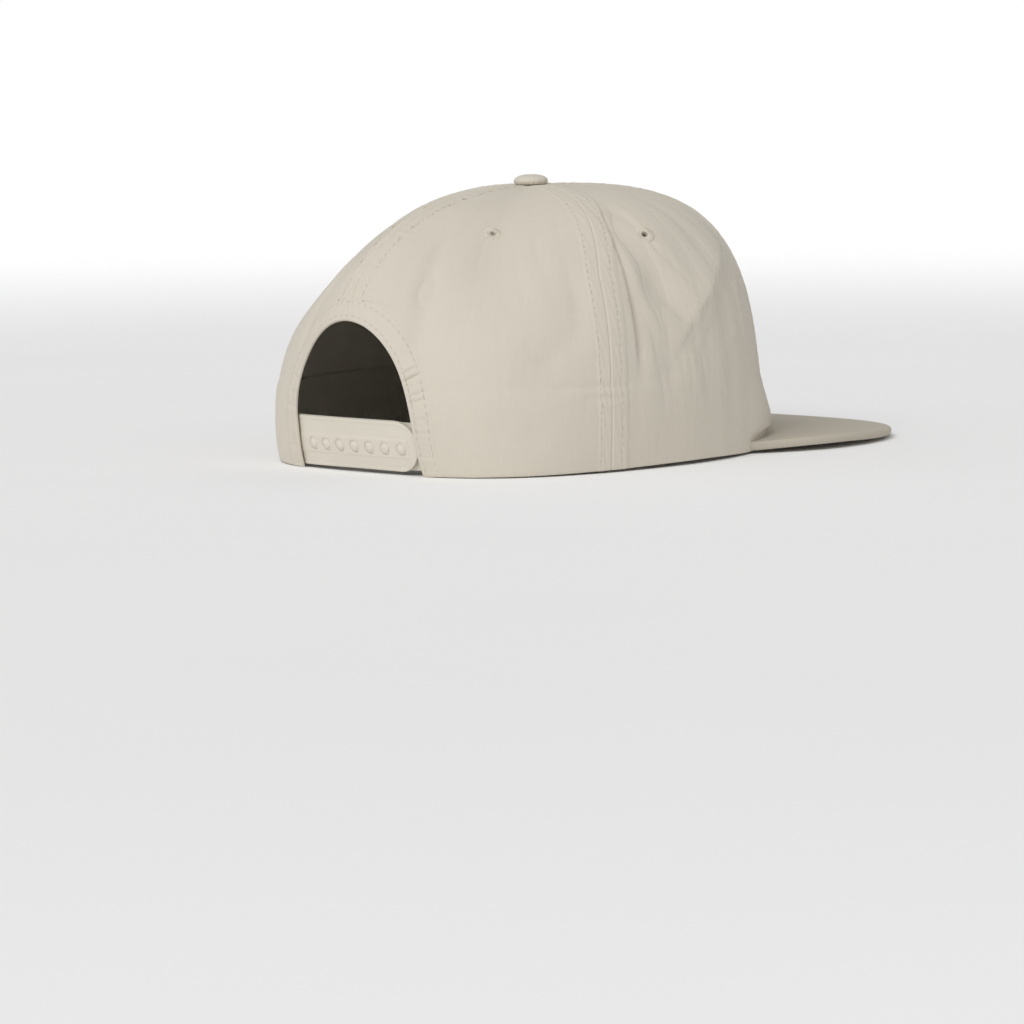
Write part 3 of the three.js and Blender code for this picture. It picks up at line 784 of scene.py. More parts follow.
# %% Front and side panels
def seam_columns(width, step):
    """Shares 0 to 1 across a panel, with fine steps near the seam at each end."""
    near = np.r_[0, 0.12, 0.26, 0.42, 0.62, 0.9, steps(14, 1.3, 6.9)] * MM
    middle = steps(int((width - 2 * near[-1]) / step), near[-1], width - near[-1])
    return np.r_[near[:-1], middle, (width - near[:-1])[::-1]] / width


def hole_rise(turn):
    """The rise at which the crown has closed in to the hole under the button."""
    low, high = np.full_like(turn, 0.9), np.ones_like(turn)
    for _ in range(40):
        middle = (low + high) / 2
        wide = crown_radius(turn, middle) > APEX_HOLE_RADIUS
        low, high = np.where(wide, middle, low), np.where(wide, high, middle)
    return low


def top_of(line):
    """The rise at which a line, which gives the turn for each rise, reaches the hole."""
    return float(hole_rise(np.array(float(line(1.0)))))


def rises_between(line, start, end, shares):
    """Rises from start to end at the given shares of the length along the line."""
    fine = start + (end - start) * (1 - (1 - steps(500)) ** 4)
    walked = walk(bare_crown(line(fine), fine))
    return np.interp(shares * walked[-1], walked, fine)


RIM_ROWS = np.array([0, 0.08, 0.2, 0.4, 0.65]) * MM / CROWN_HEIGHT


def panel_grid(first, second, shares, rows):
    """Turns and rises from one seam to the next: each column has a few close rows for the
    turned edge of the rim, then equal steps to the hole."""
    lines = [lambda rise, a=a: first(rise) + a * (second(rise) - first(rise)) for a in shares]
    rise = np.array([
        np.r_[RIM_ROWS[:-1], rises_between(line, RIM_ROWS[-1], top_of(line), steps(rows))]
        for line in lines
    ])
    return np.array([line(up) for line, up in zip(lines, rise)]), rise


def panel_uv(turn, rise, middle):
    """Metres around from the panel's middle turn, and up along its middle line."""
    fine = 1 - (1 - steps(500)) ** 4
    walked = walk(bare_crown(middle, fine))
    across = (turn - middle) * per_degree(middle + 0 * rise, rise)
    return np.stack([across, np.interp(rise, fine, walked)], axis=-1).reshape(-1, 2)


def add_panel(name, turn, rise, eyelet=None):
    """A closed shell over a grid of turns and rises, with an eyelet's hole left open."""
    outer = cloth(turn, rise)
    depth = CLOTH_WALL + cloth_relief(turn, rise) - main_relief(turn, rise)
    inner = below(cloth, turn, rise, depth)
    quads = sheet_quads(*turn.shape)
    if eyelet:
        centre = cloth(*eyelet)
        near = length(outer.reshape(-1, 3) - centre) < EYELET_HOLE_CUT
        quads = quads[~near[quads].any(axis=1)]
    uv = panel_uv(turn, rise, float(np.round(turn.mean())))
    add_shell(name + "_cloth", outer, inner, crown_nylon, [name], quads, uv=uv)


def add_panel_pair(name, turn, rise, eyelet):
    """The panel on the right, then its mirror on the left."""
    add_panel(name + "_right", turn, rise, eyelet)
    add_panel(name + "_left", -turn[::-1], rise[::-1], (-eyelet[0], eyelet[1]))


SIDE_EYELET, REAR_EYELET = (90.8, 0.830), (148.0, 0.848)
FRONT_WIDTH, SIDE_WIDTH, REAR_WIDTH = 138 * MM, 100 * MM, 92 * MM
FRONT_STEP, SIDE_STEP = 0.95 * MM, 0.85 * MM
across = seam_columns(FRONT_WIDTH, FRONT_STEP)
add_panel("front_panel", *panel_grid(level_seam(-FRONT_SEAM_TURN), FRONT_SEAM, across, 118))
across = seam_columns(SIDE_WIDTH, SIDE_STEP)
add_panel_pair("side_panel", *panel_grid(FRONT_SEAM, side_seam_turn, across, 130), SIDE_EYELET)

# %% [markdown]
# The opening at the back is an arch: a half oval on two legs that widen towards the rim,
# as seen from behind. Each rear panel runs from its side seam to the arch and then to the
# back seam above it, so its grid is stretched between those two edges.

# %% The arch and the rear panels
ARCH_SHARE = 0.8


def arch_outline(along, grow):
    """Seen from behind: along runs from -1 at one foot over 0 at the top to 1; grow is
    the distance outside the opening's edge. Gives sideways distance and height."""
    half, tall = ARCH_HALF_WIDTH + grow, ARCH_TOP - ARCH_CENTRE_HEIGHT + grow
    bend = np.clip(np.abs(along) / ARCH_SHARE, 0, 1) * np.pi / 2
    leg = np.clip((np.abs(along) - ARCH_SHARE) / (1 - ARCH_SHARE), 0, 1)
    x = half * np.sin(bend) + ARCH_FOOT_SPREAD * leg
    z = np.where(leg > 0, ARCH_CENTRE_HEIGHT * (1 - leg), ARCH_CENTRE_HEIGHT + tall * np.cos(bend))
    return np.sign(along) * x, z


def arch_on_crown(along, grow):
    """The turn and rise of an arch point, by halving the turn until its x fits."""
    along, grow = one_shape(along, grow)
    x, z = arch_outline(along, grow)
    rise = z / CROWN_HEIGHT
    low, high = np.full(x.shape, 110.0), np.full(x.shape, 180.0)
    for _ in range(30):
        middle = (low + high) / 2
        wide = np.abs(plain_cloth(middle, rise)[..., 0]) > np.abs(x)
        low, high = np.where(wide, middle, low), np.where(wide, high, middle)
    return np.where(along < 0, (low + high) / 2, 360 - (low + high) / 2), rise


# The edge towards the back: round the arch in its rows, then up the back seam.
LAP = 0.5 * MM
ARCH_ROWS, BACK_ROWS = 62, 78
arch_turn, arch_rise = arch_on_crown(-steps(400, 1, 0), HEM_WIDTH - LAP)
arch_turn[-1] = BACK_SEAM_TURN
walked = walk(plain_cloth(arch_turn, arch_rise))
rim_shares = RIM_ROWS * CROWN_HEIGHT / walked[-1]
arch_at = np.r_[rim_shares[:-1], steps(ARCH_ROWS, rim_shares[-1], 1)] * walked[-1]
upper = rises_between(BACK_SEAM, arch_rise[-1], top_of(BACK_SEAM), steps(BACK_ROWS))[1:]
edge_turn = np.r_[np.interp(arch_at, walked, arch_turn), BACK_SEAM(upper)]
edge_rise = np.r_[np.interp(arch_at, walked, arch_rise), upper]

# The edge towards the side, in as many rows, split level with the top of the arch.
SEAM_SPLIT = 60 * MM / CROWN_HEIGHT
seam_rise = np.r_[
    RIM_ROWS[:-1],
    rises_between(side_seam_turn, RIM_ROWS[-1], SEAM_SPLIT, steps(ARCH_ROWS)),
    rises_between(side_seam_turn, SEAM_SPLIT, top_of(side_seam_turn), steps(BACK_ROWS))[1:],
]
across = seam_columns(REAR_WIDTH, SIDE_STEP)[:, None]
rear_turn = side_seam_turn(seam_rise) * (1 - across) + edge_turn * across
rear_rise = seam_rise * (1 - across) + edge_rise * across
add_panel_pair("rear_panel", rear_turn, rear_rise, REAR_EYELET)

# %% [markdown]
# A folded strip of the same nylon is sewn round the opening with two rows of stitches.
# It is thicker than a panel, its inner edge is round, and the bend of the arch gathers it
# into short puckers. It is a grid along and across the arch, laid on the same cloth.

# %% The hem of the opening
HEM_FACE = 0.26 * MM
HEM_INNER_ROW, HEM_OUTER_ROW = 1.8 * MM, 6.6 * MM
# Each pucker: its place along the arch and its depth as a share of PUCKER_DEPTH.
PUCKER_DEPTH = 1.2 * MM
HEM_PUCKERS = [
    (-0.548, 0.66), (-0.512, 0.40), (-0.566, -0.14), (-0.622, 0.40), (-0.652, 0.44),
    (-0.588, 0.14), (-0.785, 0.15), (-0.73, 0.12), (-0.84, 0.10), (-0.90, 0.12), (-0.44, 0.08),
    (-0.36, 0.07), (-0.22, 0.06), (-0.10, 0.08), (0.06, 0.08), (0.20, 0.06), (0.35, 0.08),
    (0.50, 0.12), (0.57, 0.20), (0.64, 0.14), (0.70, 0.22), (0.79, 0.14), (0.88, 0.12),
]


def hem_relief(along, across):
    """Height of the hem over the cloth: a soft face between two stitched lines, round at
    the opening and level with the panel at its outer edge, with short puckers across."""
    outer_edge = smooth((across - HEM_OUTER_ROW + 0.2 * MM) / (1.2 * MM))
    height = HEM_FACE - edge_drop(across, 0.7 * MM) - (HEM_FACE - 0.05 * MM) * outer_edge
    for row in (HEM_INNER_ROW, HEM_OUTER_ROW):
        height = height - 0.10 * MM * bell(across - row, 0.36 * MM)
    inside = np.sin(np.pi * np.clip(across / HEM_WIDTH, 0, 1)) ** 0.7
    for place, depth in HEM_PUCKERS:
        wide = 0.0048 + 0.002 * across / HEM_WIDTH
        height = height - depth * PUCKER_DEPTH * inside * bell(along - place, wide)
    ripple = np.sin(along * 95) * 0.04 + np.sin(along * 61 + 1) * 0.05 + np.sin(along * 210) * 0.015
    return height + ripple * MM * inside


def hem_cloth(along, across):
    """A point on the hem's outer face, which takes up the panel's relief outwards."""
    turn, rise = arch_on_crown(along, across)
    normal = outward(plain_cloth, turn, rise)
    panel = cloth_relief(turn, rise) - main_relief(turn, rise)
    lift = hem_relief(along, across) + panel * (0.2 + 0.8 * smooth(across / HEM_WIDTH))
    return plain_cloth(turn, rise) + normal * lift[..., None]


hem_along, hem_across = np.meshgrid(
    steps(520, -1, 1),
    np.r_[0, 0.06, 0.2, 0.45, 0.8, steps(24, 1.2, 8.0)] * MM,
    indexing="ij",
)
hem_turn, hem_rise = arch_on_crown(hem_along, hem_across)
hem_outer = hem_cloth(hem_along, hem_across)
hem_normal = outward(plain_cloth, hem_turn, hem_rise)
round_inside = 0.6 * MM * np.clip(1 - hem_across / (1.2 * MM), 0, 1) ** 2
hem_depth = HEM_WALL - HEM_PROUD - 0.2 * MM - round_inside
hem_inner = plain_cloth(hem_turn, hem_rise) - hem_normal * hem_depth[..., None]
hem_inner[..., 2] = np.where(hem_rise <= 0, 0, hem_inner[..., 2])
add_shell("arch_hem_cloth", hem_outer, hem_inner, hem_nylon, ["arch_hem"])

# %% [markdown]
# The snap strap has two halves of moulded plastic. The outer half has seven round holes,
# a raised border and a raised band along the holes; the studs of the inner half stand in
# them. Holes are cut from a fine grid: the quads inside a circle go, and the points left
# on its edge are moved onto the circle. A boolean would do it too, but with long slivers.

# %% The snap strap
STRAP_DEPTH = HEM_WALL - HEM_PROUD + CLEARANCE
STRAP_END = ARCH_HALF_WIDTH + ARCH_FOOT_SPREAD + STRAP_TUCK
STRAP_MIDDLE, STRAP_HALF = (STRAP_TOP + STRAP_FOOT) / 2, (STRAP_TOP - STRAP_FOOT) / 2
BORDER_WIDTH, BORDER_LIFT, STRAP_ROUND = 1.1 * MM, 0.16 * MM, 0.45 * MM
BAND_FOOT, BAND_TOP, BAND_LIFT, BAND_TIP = 5.7 * MM, 13.3 * MM, 0.20 * MM, 4.2 * MM
walk_turns = steps(240, 180, 120)
walk_lengths = walk(bare_crown(walk_turns, STUD_HEIGHT / CROWN_HEIGHT))
stud_places = (np.arange(STUD_COUNT) - (STUD_COUNT - 1) / 2) * STUD_PITCH


def rear_turn_at(distance):
    """The turn at a distance along the back, positive to the wearer's right."""
    turn = np.interp(np.abs(distance), walk_lengths, walk_turns)
    return np.where(distance >= 0, turn, 360 - turn)


def strap_point(distance, height, depth):
    """A point of the strap, some depth inside the cloth."""
    return below(plain_cloth, rear_turn_at(distance), height / CROWN_HEIGHT, depth)


def cut_holes(plane, quads, places, radius):
    """Drops the quads that reach into a circle and moves their outer points onto it."""
    plane = plane.copy()
    for place in places:
        centre = np.array([place, STUD_HEIGHT])
        away = plane - centre
        distance = np.maximum(length(away), 1e-9)
        gone = (distance[quads] < radius).any(axis=1)
        edge = np.intersect1d(quads[gone], quads[~gone])
        plane[edge] = centre + away[edge] * (radius / distance[edge])[:, None]
        quads = quads[~gone]
    return plane, quads


def strap_grid(columns, rows):
    """Distances and heights of a strap half whose tip is rounded like a half oval."""
    across = -np.cos(np.pi * steps(rows)) * 0.25 + (steps(rows) * 2 - 1) * 0.75
    along = 1 - (1 - steps(columns)) ** 1.25
    tip = STRAP_TIP_REACH - STRAP_TIP_ROUND * (1 - np.sqrt(np.clip(1 - across ** 2, 0, 1)))
    distance = -STRAP_END + (tip[None, :] + STRAP_END) * along[:, None]
    return np.stack([distance, STRAP_MIDDLE + STRAP_HALF * across + 0 * distance], axis=-1)


def edge_distance(plane):
    """Distance to the strap's outline: its long edges and its oval tip."""
    flat = STRAP_HALF - np.abs(plane[..., 1] - STRAP_MIDDLE)
    past = np.clip(plane[..., 0] - (STRAP_TIP_REACH - STRAP_TIP_ROUND), 0, None)
    oval = np.hypot(past, plane[..., 1] - STRAP_MIDDLE)
    return np.minimum(flat, np.where(past > 0, STRAP_TIP_ROUND - oval, flat))


def strap_relief(plane, holes):
    """Round edge, raised border, a raised band along the holes, and a dip round each hole."""
    inside = np.clip(edge_distance(plane), 0, None)
    border = 1 - smooth((inside - BORDER_WIDTH) / STRAP_ROUND)
    band = smooth((plane[..., 1] - BAND_FOOT) / STRAP_ROUND)
    band = band * smooth((BAND_TOP - plane[..., 1]) / STRAP_ROUND)
    band = band * smooth((STRAP_TIP_REACH - BAND_TIP - plane[..., 0]) / (0.5 * MM))
    lift = -edge_drop(inside, STRAP_ROUND) + BORDER_LIFT * border + BAND_LIFT * band
    for place in stud_places if holes else ():
        ring = np.hypot(plane[..., 0] - place, plane[..., 1] - STUD_HEIGHT) - SNAP_HOLE_RADIUS
        lift = lift - 0.12 * MM * bell(ring, 0.4 * MM)
    return lift


def add_strap(name, node, side, depth, holes):
    """One half: side is 1 where the tip points to the wearer's right, and -1 otherwise."""
    plane = strap_grid(280, 60)
    shape = (*plane.shape[:2], 3)
    quads = sheet_quads(*shape[:2])[:, ::-side]
    plane = plane.reshape(-1, 2)
    if holes:
        plane, quads = cut_holes(plane, quads, stud_places, SNAP_HOLE_RADIUS)
    else:
        plane[:, 1] *= 0.96
    lift = strap_relief(plane, holes)
    outer = strap_point(side * plane[:, 0], plane[:, 1], depth - lift).reshape(shape)
    inner = strap_point(side * plane[:, 0], plane[:, 1], depth + STRAP_WALL + 0 * lift).reshape(shape)
    add_shell(name, outer, inner, plastic, [node], quads, 32)


inner_depth = STRAP_DEPTH + STRAP_WALL + CLEARANCE
add_strap("strap_outer_half", "strap_outer", 1, STRAP_DEPTH, True)
add_strap("strap_inner_half", "strap_inner", -1, inner_depth, False)


def on_cloth(points, turn, rise, surface=plain_cloth):
    """Points drawn about Z are stood on the cloth, with Z along its normal."""
    turn, rise = np.array(float(turn)), np.array(float(rise))
    normal = outward(surface, turn, rise)
    side = unit(np.cross([0, 0, 1.0], normal))
    frame_axes = np.stack([side, np.cross(normal, side), normal])
    return surface(turn, rise) + points @ frame_axes


STUD_SIDES = 32
STUD_BENDS = np.radians([0, 12, 24, 36, 48, 60, 72, 82, 88])
boss_top = -STRAP_DEPTH
stud_profile = [
    (STUD_RADIUS * 0.86, -STRAP_DEPTH - STRAP_WALL - 0.6 * MM),
    (STUD_RADIUS * 0.86, boss_top - 0.8 * MM),
    (SNAP_HOLE_RADIUS - 0.06 * MM, boss_top - 0.6 * MM),
    (SNAP_HOLE_RADIUS - 0.06 * MM, boss_top - 0.06 * MM),
    (SNAP_HOLE_RADIUS - 0.14 * MM, boss_top),
]
stud_profile += [
    (STUD_RADIUS * math.cos(bend), boss_top + STUD_RISE * math.sin(bend)) for bend in STUD_BENDS
]
stud = lathe(stud_profile, angles_round(STUD_SIDES)).reshape(-1, 3)
stud_rise = STUD_HEIGHT / CROWN_HEIGHT
points = np.concatenate([on_cloth(stud, rear_turn_at(place), stud_rise) for place in stud_places])
faces = lathe_faces(STUD_SIDES, len(stud_profile))
faces = [[i + k * len(stud) for i in face] for k in range(STUD_COUNT) for face in faces]
add_piece("strap_studs", points, faces, points[:, [0, 2]], plastic,
          ["strap_inner"], 50)

# %% [markdown]
# The sweatband is a soft cotton band inside the rim, sewn along the edge and free at the
# top. It shows through the opening and from below. It follows the inside of the panels,
# with a rolled upper edge and a light padding between its two sewn lines.

# %% The sweatband
BAND_LOW_ROW, BAND_HIGH_ROW = 3 * MM, 26 * MM
band_end = float(rear_turn_at(ARCH_HALF_WIDTH + ARCH_FOOT_SPREAD + 1.35 * HEM_WIDTH))
band_turn, band_height = np.meshgrid(
    steps(360, -band_end, band_end),
    np.r_[0, 0.1, 0.3, 0.6, steps(26, 1.0, 28.2), 28.6, 28.85, 29.0] * MM,
    indexing="ij",
)
band_rise = band_height / CROWN_HEIGHT
band_outer = below(plain_cloth, band_turn, band_rise, CLOTH_WALL + CLEARANCE + 0 * band_turn)
padded = np.sin(np.pi * np.clip((band_height - BAND_LOW_ROW) / (BAND_HIGH_ROW - BAND_LOW_ROW), 0, 1))
band_relief_in = 0.35 * MM * padded ** 0.6
for row in (BAND_LOW_ROW, BAND_HIGH_ROW):
    band_relief_in = band_relief_in - 0.25 * MM * bell(band_height - row, 0.6 * MM)
rolled = np.clip((band_height - SWEATBAND_HEIGHT) / (0.6 * MM) + 1, 0, 1)
band_relief_in = band_relief_in - 0.5 * MM * (1 - np.sqrt(1 - rolled ** 2))
band_relief_in = band_relief_in + 0.08 * MM * np.sin(np.radians(band_turn) * 38 + band_height * 60)
band_depth = CLOTH_WALL + CLEARANCE + SWEATBAND_WALL - 0.2 * MM + band_relief_in
band_inner = below(plain_cloth, band_turn, band_rise, band_depth)
add_shell("sweatband_cotton", band_outer, band_inner, band_cotton, ["sweatband"])

# %% [markdown]
# The brim is a flat board covered with the same nylon, wider than the crown at its sides
# and rounded all the way round its edge. Its plan is a squared oval. Each section runs
# from the crown out along the top, round the edge and back along the underside.

# %% The brim
WIDEST_Y = -RIM_FRONT + BRIM_WIDEST_BEHIND_RIM
BRIM_REACH = RIM_FRONT + BRIM_LENGTH + WIDEST_Y
BRIM_ROOT_HEIGHT, CORNER_SAG, SECTION_STEPS = 3 * MM, 2.4 * MM, 46


def brim_oval(angle):
    """Squared oval about the widest line, angle 0 at the tip, in degrees."""
    s, c = np.sin(np.radians(angle)), np.cos(np.radians(angle))
    radial = (np.abs(s) ** BRIM_SQUARENESS + np.abs(c) ** BRIM_SQUARENESS) ** (-1 / BRIM_SQUARENESS)
    return np.stack([-BRIM_HALF_WIDTH * s * radial, WIDEST_Y - BRIM_REACH * c * radial], axis=-1)


# The outline of one side: the flank from the crown to the widest line, then the oval.
root_end = plain_cloth(BRIM_BACK_TURN, 0)[:2]
share = steps(60, 1, 0)
flank_x = -BRIM_HALF_WIDTH + (BRIM_HALF_WIDTH + root_end[0]) * share ** BRIM_FLANK_POWER
flank = np.stack([flank_x, WIDEST_Y + (root_end[1] - WIDEST_Y) * share], axis=-1)
right_edge = np.concatenate([flank, brim_oval(steps(160, 90, 0))[1:]])
outline = np.concatenate([right_edge, right_edge[-2::-1] * [-1, 1]])
edge_at = steps(300)
walked = walk(outline)
edge = np.stack([np.interp(edge_at * walked[-1], walked, line) for line in outline.T], axis=-1)
root_turns = [BRIM_BACK_TURN, 54, 0, -54, -BRIM_BACK_TURN]
root_turn = np.interp(edge_at, [0, 0.12, 0.5, 0.88, 1], root_turns)
root = below(plain_cloth, root_turn, BRIM_ROOT_HEIGHT / CROWN_HEIGHT + 0 * root_turn, 0.5 * MM)[:, :2]

# Each section: out along the top, round the edge and back along the underside.
out_share = 1 - (1 - steps(SECTION_STEPS)) ** 2.6
out_share = np.r_[out_share, out_share[-2::-1]][:, None]
side = np.r_[np.ones(SECTION_STEPS), 0, -np.ones(SECTION_STEPS)]
plan = root[:, None] + (edge - root)[:, None] * out_share
from_edge = length(edge - root)[:, None] * (1 - out_share[:, 0])
half_wall = BRIM_WALL / 2
inset = np.clip(1 - from_edge / half_wall, 0, 1)
puff = 0.12 * MM * np.sin(plan[..., 0] * 70) * np.sin(plan[..., 1] * 45)
level = half_wall * np.sqrt(1 - inset ** 2) + puff * smooth(from_edge / (20 * MM))
near_corner = np.clip(1 + (plan[..., 1] + 50 * MM) / (50 * MM), 0, 1) ** 2
sag = CORNER_SAG * near_corner * smooth((np.abs(plan[..., 0]) - 30 * MM) / (38 * MM))
points = pitched(np.concatenate([plan, (half_wall + side * level - sag)[..., None]], axis=-1))
at = np.arange(len(edge) * len(side)).reshape(len(edge), -1)
root_wall = np.stack([at[:-1, -1], at[1:, -1], at[1:, 0], at[:-1, 0]], axis=-1)
faces = sheet_quads(*at.shape)[:, ::-1].tolist() + root_wall.tolist()
faces += [at[0, ::-1].tolist(), at[-1].tolist()]
add_piece("brim_cover", points.reshape(-1, 3), faces, plan.reshape(-1, 2), brim_nylon_painted_shade,
          ["brim"], 60)

# %% [markdown]
# The button is a small dome covered with the same cloth, gathered underneath. A stem holds
# it through the hole where the seams meet. It is a profile turned about the crown's axis,
# with shallow pleats that grow towards its lower edge.

# %% The top button
BUTTON_SIDES, BUTTON_PUFF, BUTTON_WAIST = 96, 0.35 * MM, 1.1 * MM
angle = steps(29, -0.5, np.pi / 2)
dome_radius = (BUTTON_RADIUS + BUTTON_PUFF) * np.cos(angle) ** 0.8
dome_height = BUTTON_WAIST + (BUTTON_HEIGHT + BUTTON_PUFF - BUTTON_WAIST) * np.sin(angle)
button_profile = [(1.6 * MM, -3 * MM), (1.6 * MM, 0.25 * MM), (4.6 * MM, 0.1 * MM)]
button_profile += list(zip(np.maximum(dome_radius, 0.05 * MM), dome_height))


def pleats(angles, rings):
    """Shallow pleats round the lower edge, gone near the top."""
    low = 1 - smooth((rings - 3) / 14)
    depth = 0.10 * np.cos(16 * angles) + 0.05 * np.cos(23 * angles + 1)
    return depth * MM * low * (rings > 1)


around = angles_round(BUTTON_SIDES)
rings = np.arange(len(button_profile))
points = lathe(button_profile, around, pleats(around, rings)).reshape(-1, 3)
points = points + [0, -APEX_FORWARD, CROWN_HEIGHT + CLEARANCE]
add_piece("top_button_cover", points, lathe_faces(BUTTON_SIDES, len(rings)), points[:, :2],
          crown_nylon, ["top_button"], 60)

# %% [markdown]
# Each side and rear panel has one sewn eyelet for air: a ring of thread laid over and over
# through a small hole, on both faces of the cloth. The ring is a looped profile turned
# about the cloth's normal, with a ridge for each turn of the thread.

# %% The eyelets
EYELET_SIDES, THREAD_TURNS = 144, 36
# Radius and height in millimetres, from the hole over the outer face and back underneath.
eyelet_profile = np.array([
    (1.1, -1.35), (1.1, -0.5), (1.12, 0.05), (1.3, 0.32), (1.75, 0.48), (2.3, 0.50),
    (2.9, 0.40), (3.35, 0.20), (3.6, -0.05), (3.3, -0.3), (2.2, -0.5), (2.0, -1.2),
    (3.0, -1.45), (3.2, -1.6), (2.6, -1.85), (1.6, -1.8), (1.1, -1.6),
]) * MM


def thread_ridges(angles, rings):
    """One ridge for each turn of the thread, highest on the flank of the ring."""
    flank = np.sin(np.pi * np.clip((rings - 1) / 8, 0, 1))
    ridges = 0.10 * np.cos(THREAD_TURNS * angles) + 0.06 * np.cos(29 * angles + 2)
    return ridges * MM * flank


def add_eyelet(name, turn, rise):
    """The ring stood on the cloth, its ridges lifted on the outer face too."""
    around, rings = angles_round(EYELET_SIDES), np.arange(len(eyelet_profile))
    ring = lathe(eyelet_profile, around, thread_ridges(around, rings))
    lifted = np.sin(np.pi * np.clip((rings - 2) / 6, 0, 1))
    ring[..., 2] += 0.11 * MM * np.cos(THREAD_TURNS * around) * lifted
    ring = ring.reshape(-1, 3)
    faces = lathe_faces(EYELET_SIDES, len(rings), looped=True)
    points = on_cloth(ring, turn, rise, cloth)
    add_piece(name + "_thread", points, faces, ring[:, :2], thread, [name], 60)


for side_name, sign in (("right", 1), ("left", -1)):
    add_eyelet("eyelet_side_" + side_name, sign * SIDE_EYELET[0], SIDE_EYELET[1])
    add_eyelet("eyelet_rear_" + side_name, sign * REAR_EYELET[0], REAR_EYELET[1])

# %% [markdown]
# Stitches are what tell a sewn seam from a crease. Each one is a short capsule of thread
# whose ends dip into the cloth, about three millimetres from the next. All stitches of
# one seam are one mesh, worked out at once from their middles, directions and normals.

# %% Stitches
STITCH_PITCH = 3.0 * MM
STITCH_LENGTH = 2.5 * MM
STITCH_RADIUS = 0.13 * MM
STITCH_RINGS = np.array([-1.0, -0.8, -0.35, 0.35, 0.8, 1.0])
STITCH_WIDTHS = np.array([0.35, 0.8, 1.0, 1.0, 0.8, 0.35])
STITCH_SINK = np.array([-0.22, -0.13, -0.04, -0.04, -0.13, -0.22]) * MM
STITCH_SIDES = 6


def stitch_mesh(middles, directions, normals):
    """Rings of six points round each stitch's line, arched so that its ends sink in."""
    side = unit(np.cross(normals, directions))
    angles = np.arange(STITCH_SIDES) * 2 * np.pi / STITCH_SIDES
    line = middles[:, None] + directions[:, None] * (STITCH_RINGS * STITCH_LENGTH / 2)[:, None]
    line = line + normals[:, None] * STITCH_SINK[:, None]
    c, s = np.cos(angles)[:, None], np.sin(angles)[:, None]
    spoke = side[:, None] * c + normals[:, None] * s
    widths = (STITCH_WIDTHS * STITCH_RADIUS)[:, None, None]
    points = line[:, :, None] + spoke[:, None] * widths
    at = np.arange(len(STITCH_RINGS) * STITCH_SIDES).reshape(-1, STITCH_SIDES)
    beside = np.roll(at, -1, axis=1)
    one = np.stack([at[1:], beside[1:], beside[:-1], at[:-1]], axis=-1).reshape(-1, 4)
    caps = [at[0, :4], at[0, [0, 3, 4, 5]], at[-1, 3::-1], at[-1, [5, 4, 3, 0]]]
    one = np.concatenate([one, caps])
    faces = (one + (np.arange(len(middles)) * at.size)[:, None, None]).reshape(-1, 4)
    along = STITCH_RINGS[:, None] * STITCH_LENGTH / 2 + 0 * angles
    uv = np.stack([along, angles + 0 * along], axis=-1).reshape(-1, 2)
    return points.reshape(-1, 3), faces, np.tile(uv, (len(middles), 1))


def stitch_row(surface, first, second):
    """Middles at an equal pitch along a line of a surface, with directions and normals."""
    points = surface(first, second)
    walked = walk(points)
    count = int(walked[-1] / STITCH_PITCH)
    at = (np.arange(count) + 0.5) * walked[-1] / count
    middles, ahead, behind = (
        np.stack([np.interp(at + shift, walked, line) for line in points.T], axis=-1)
        for shift in (0, 0.6 * MM, -0.6 * MM)
    )
    places = [np.interp(at, walked, line) for line in (first, second)]
    return middles, unit(ahead - behind), places


def add_stitches(name, rows):
    """One piece from several rows of (middles, directions, normals)."""
    middles, directions, normals = (np.concatenate(part) for part in zip(*rows))
    normals = unit(normals - directions * (normals * directions).sum(-1, keepdims=True))
    points, faces, uv = stitch_mesh(middles, directions, normals)
    add_piece(name, points, faces.tolist(), uv, thread, (), 60)


def seam_rows(line, sign, low):
    """A row on each side of a seam, from a height up to the button."""
    rows = []
    rises = rises_between(line, low / CROWN_HEIGHT, top_of(line), steps(600))
    rises = rises[crown_radius(line(rises), rises) > 7.5 * MM]
    for offset in (-SEAM_ROW, SEAM_ROW):
        turn = sign * (line(rises) + offset / per_degree(line(rises), rises))
        middles, directions, (turns, heights) = stitch_row(cloth, turn, rises)
        rows.append((middles, directions, outward(plain_cloth, turns, heights)))
    return rows


for side_name, sign in (("right", 1), ("left", -1)):
    add_stitches("stitches_front_" + side_name, seam_rows(FRONT_SEAM, sign, 2 * MM))
    add_stitches("stitches_side_" + side_name, seam_rows(side_seam_turn, sign, 2 * MM))
add_stitches("stitches_back", seam_rows(BACK_SEAM, 1, ARCH_TOP + HEM_WIDTH + 0.5 * MM))

hem_rows = []
for row in (HEM_INNER_ROW, HEM_OUTER_ROW):
    along = steps(1500, -0.985, 0.985)
    middles, directions, (spots, widths) = stitch_row(hem_cloth, along, np.full_like(along, row))
    hem_rows.append((middles, directions, outward(plain_cloth, *arch_on_crown(spots, widths))))
add_stitches("stitches_hem", hem_rows)

# %% [markdown]
# The picture is taken from behind the wearer's right, a little above the rim, with a long
# lens. Its view is given by the turn from straight behind, the rise, a slight roll, the
# distance and the lens, all found for the level rim, so they are tipped with the cap.

# %% Camera
def pose(axes, spot):
    """The matrix that turns an object's own axes into these three and moves it to a spot."""
    matrix = np.eye(4)
    matrix[:3, :3], matrix[:3, 3] = np.transpose(axes), spot
    return Matrix(matrix.tolist())


VIEW_TURN, VIEW_RISE, VIEW_ROLL = np.radians([42.778, 6.972, 1.186])
VIEW_DISTANCE = 1462.124 * MM
VIEW_ASIDE, VIEW_UP = 6.994 * MM, 24.203 * MM
FOCAL_PIXELS, PICTURE_PIXELS, SENSOR = 3781.035, 1024, 36

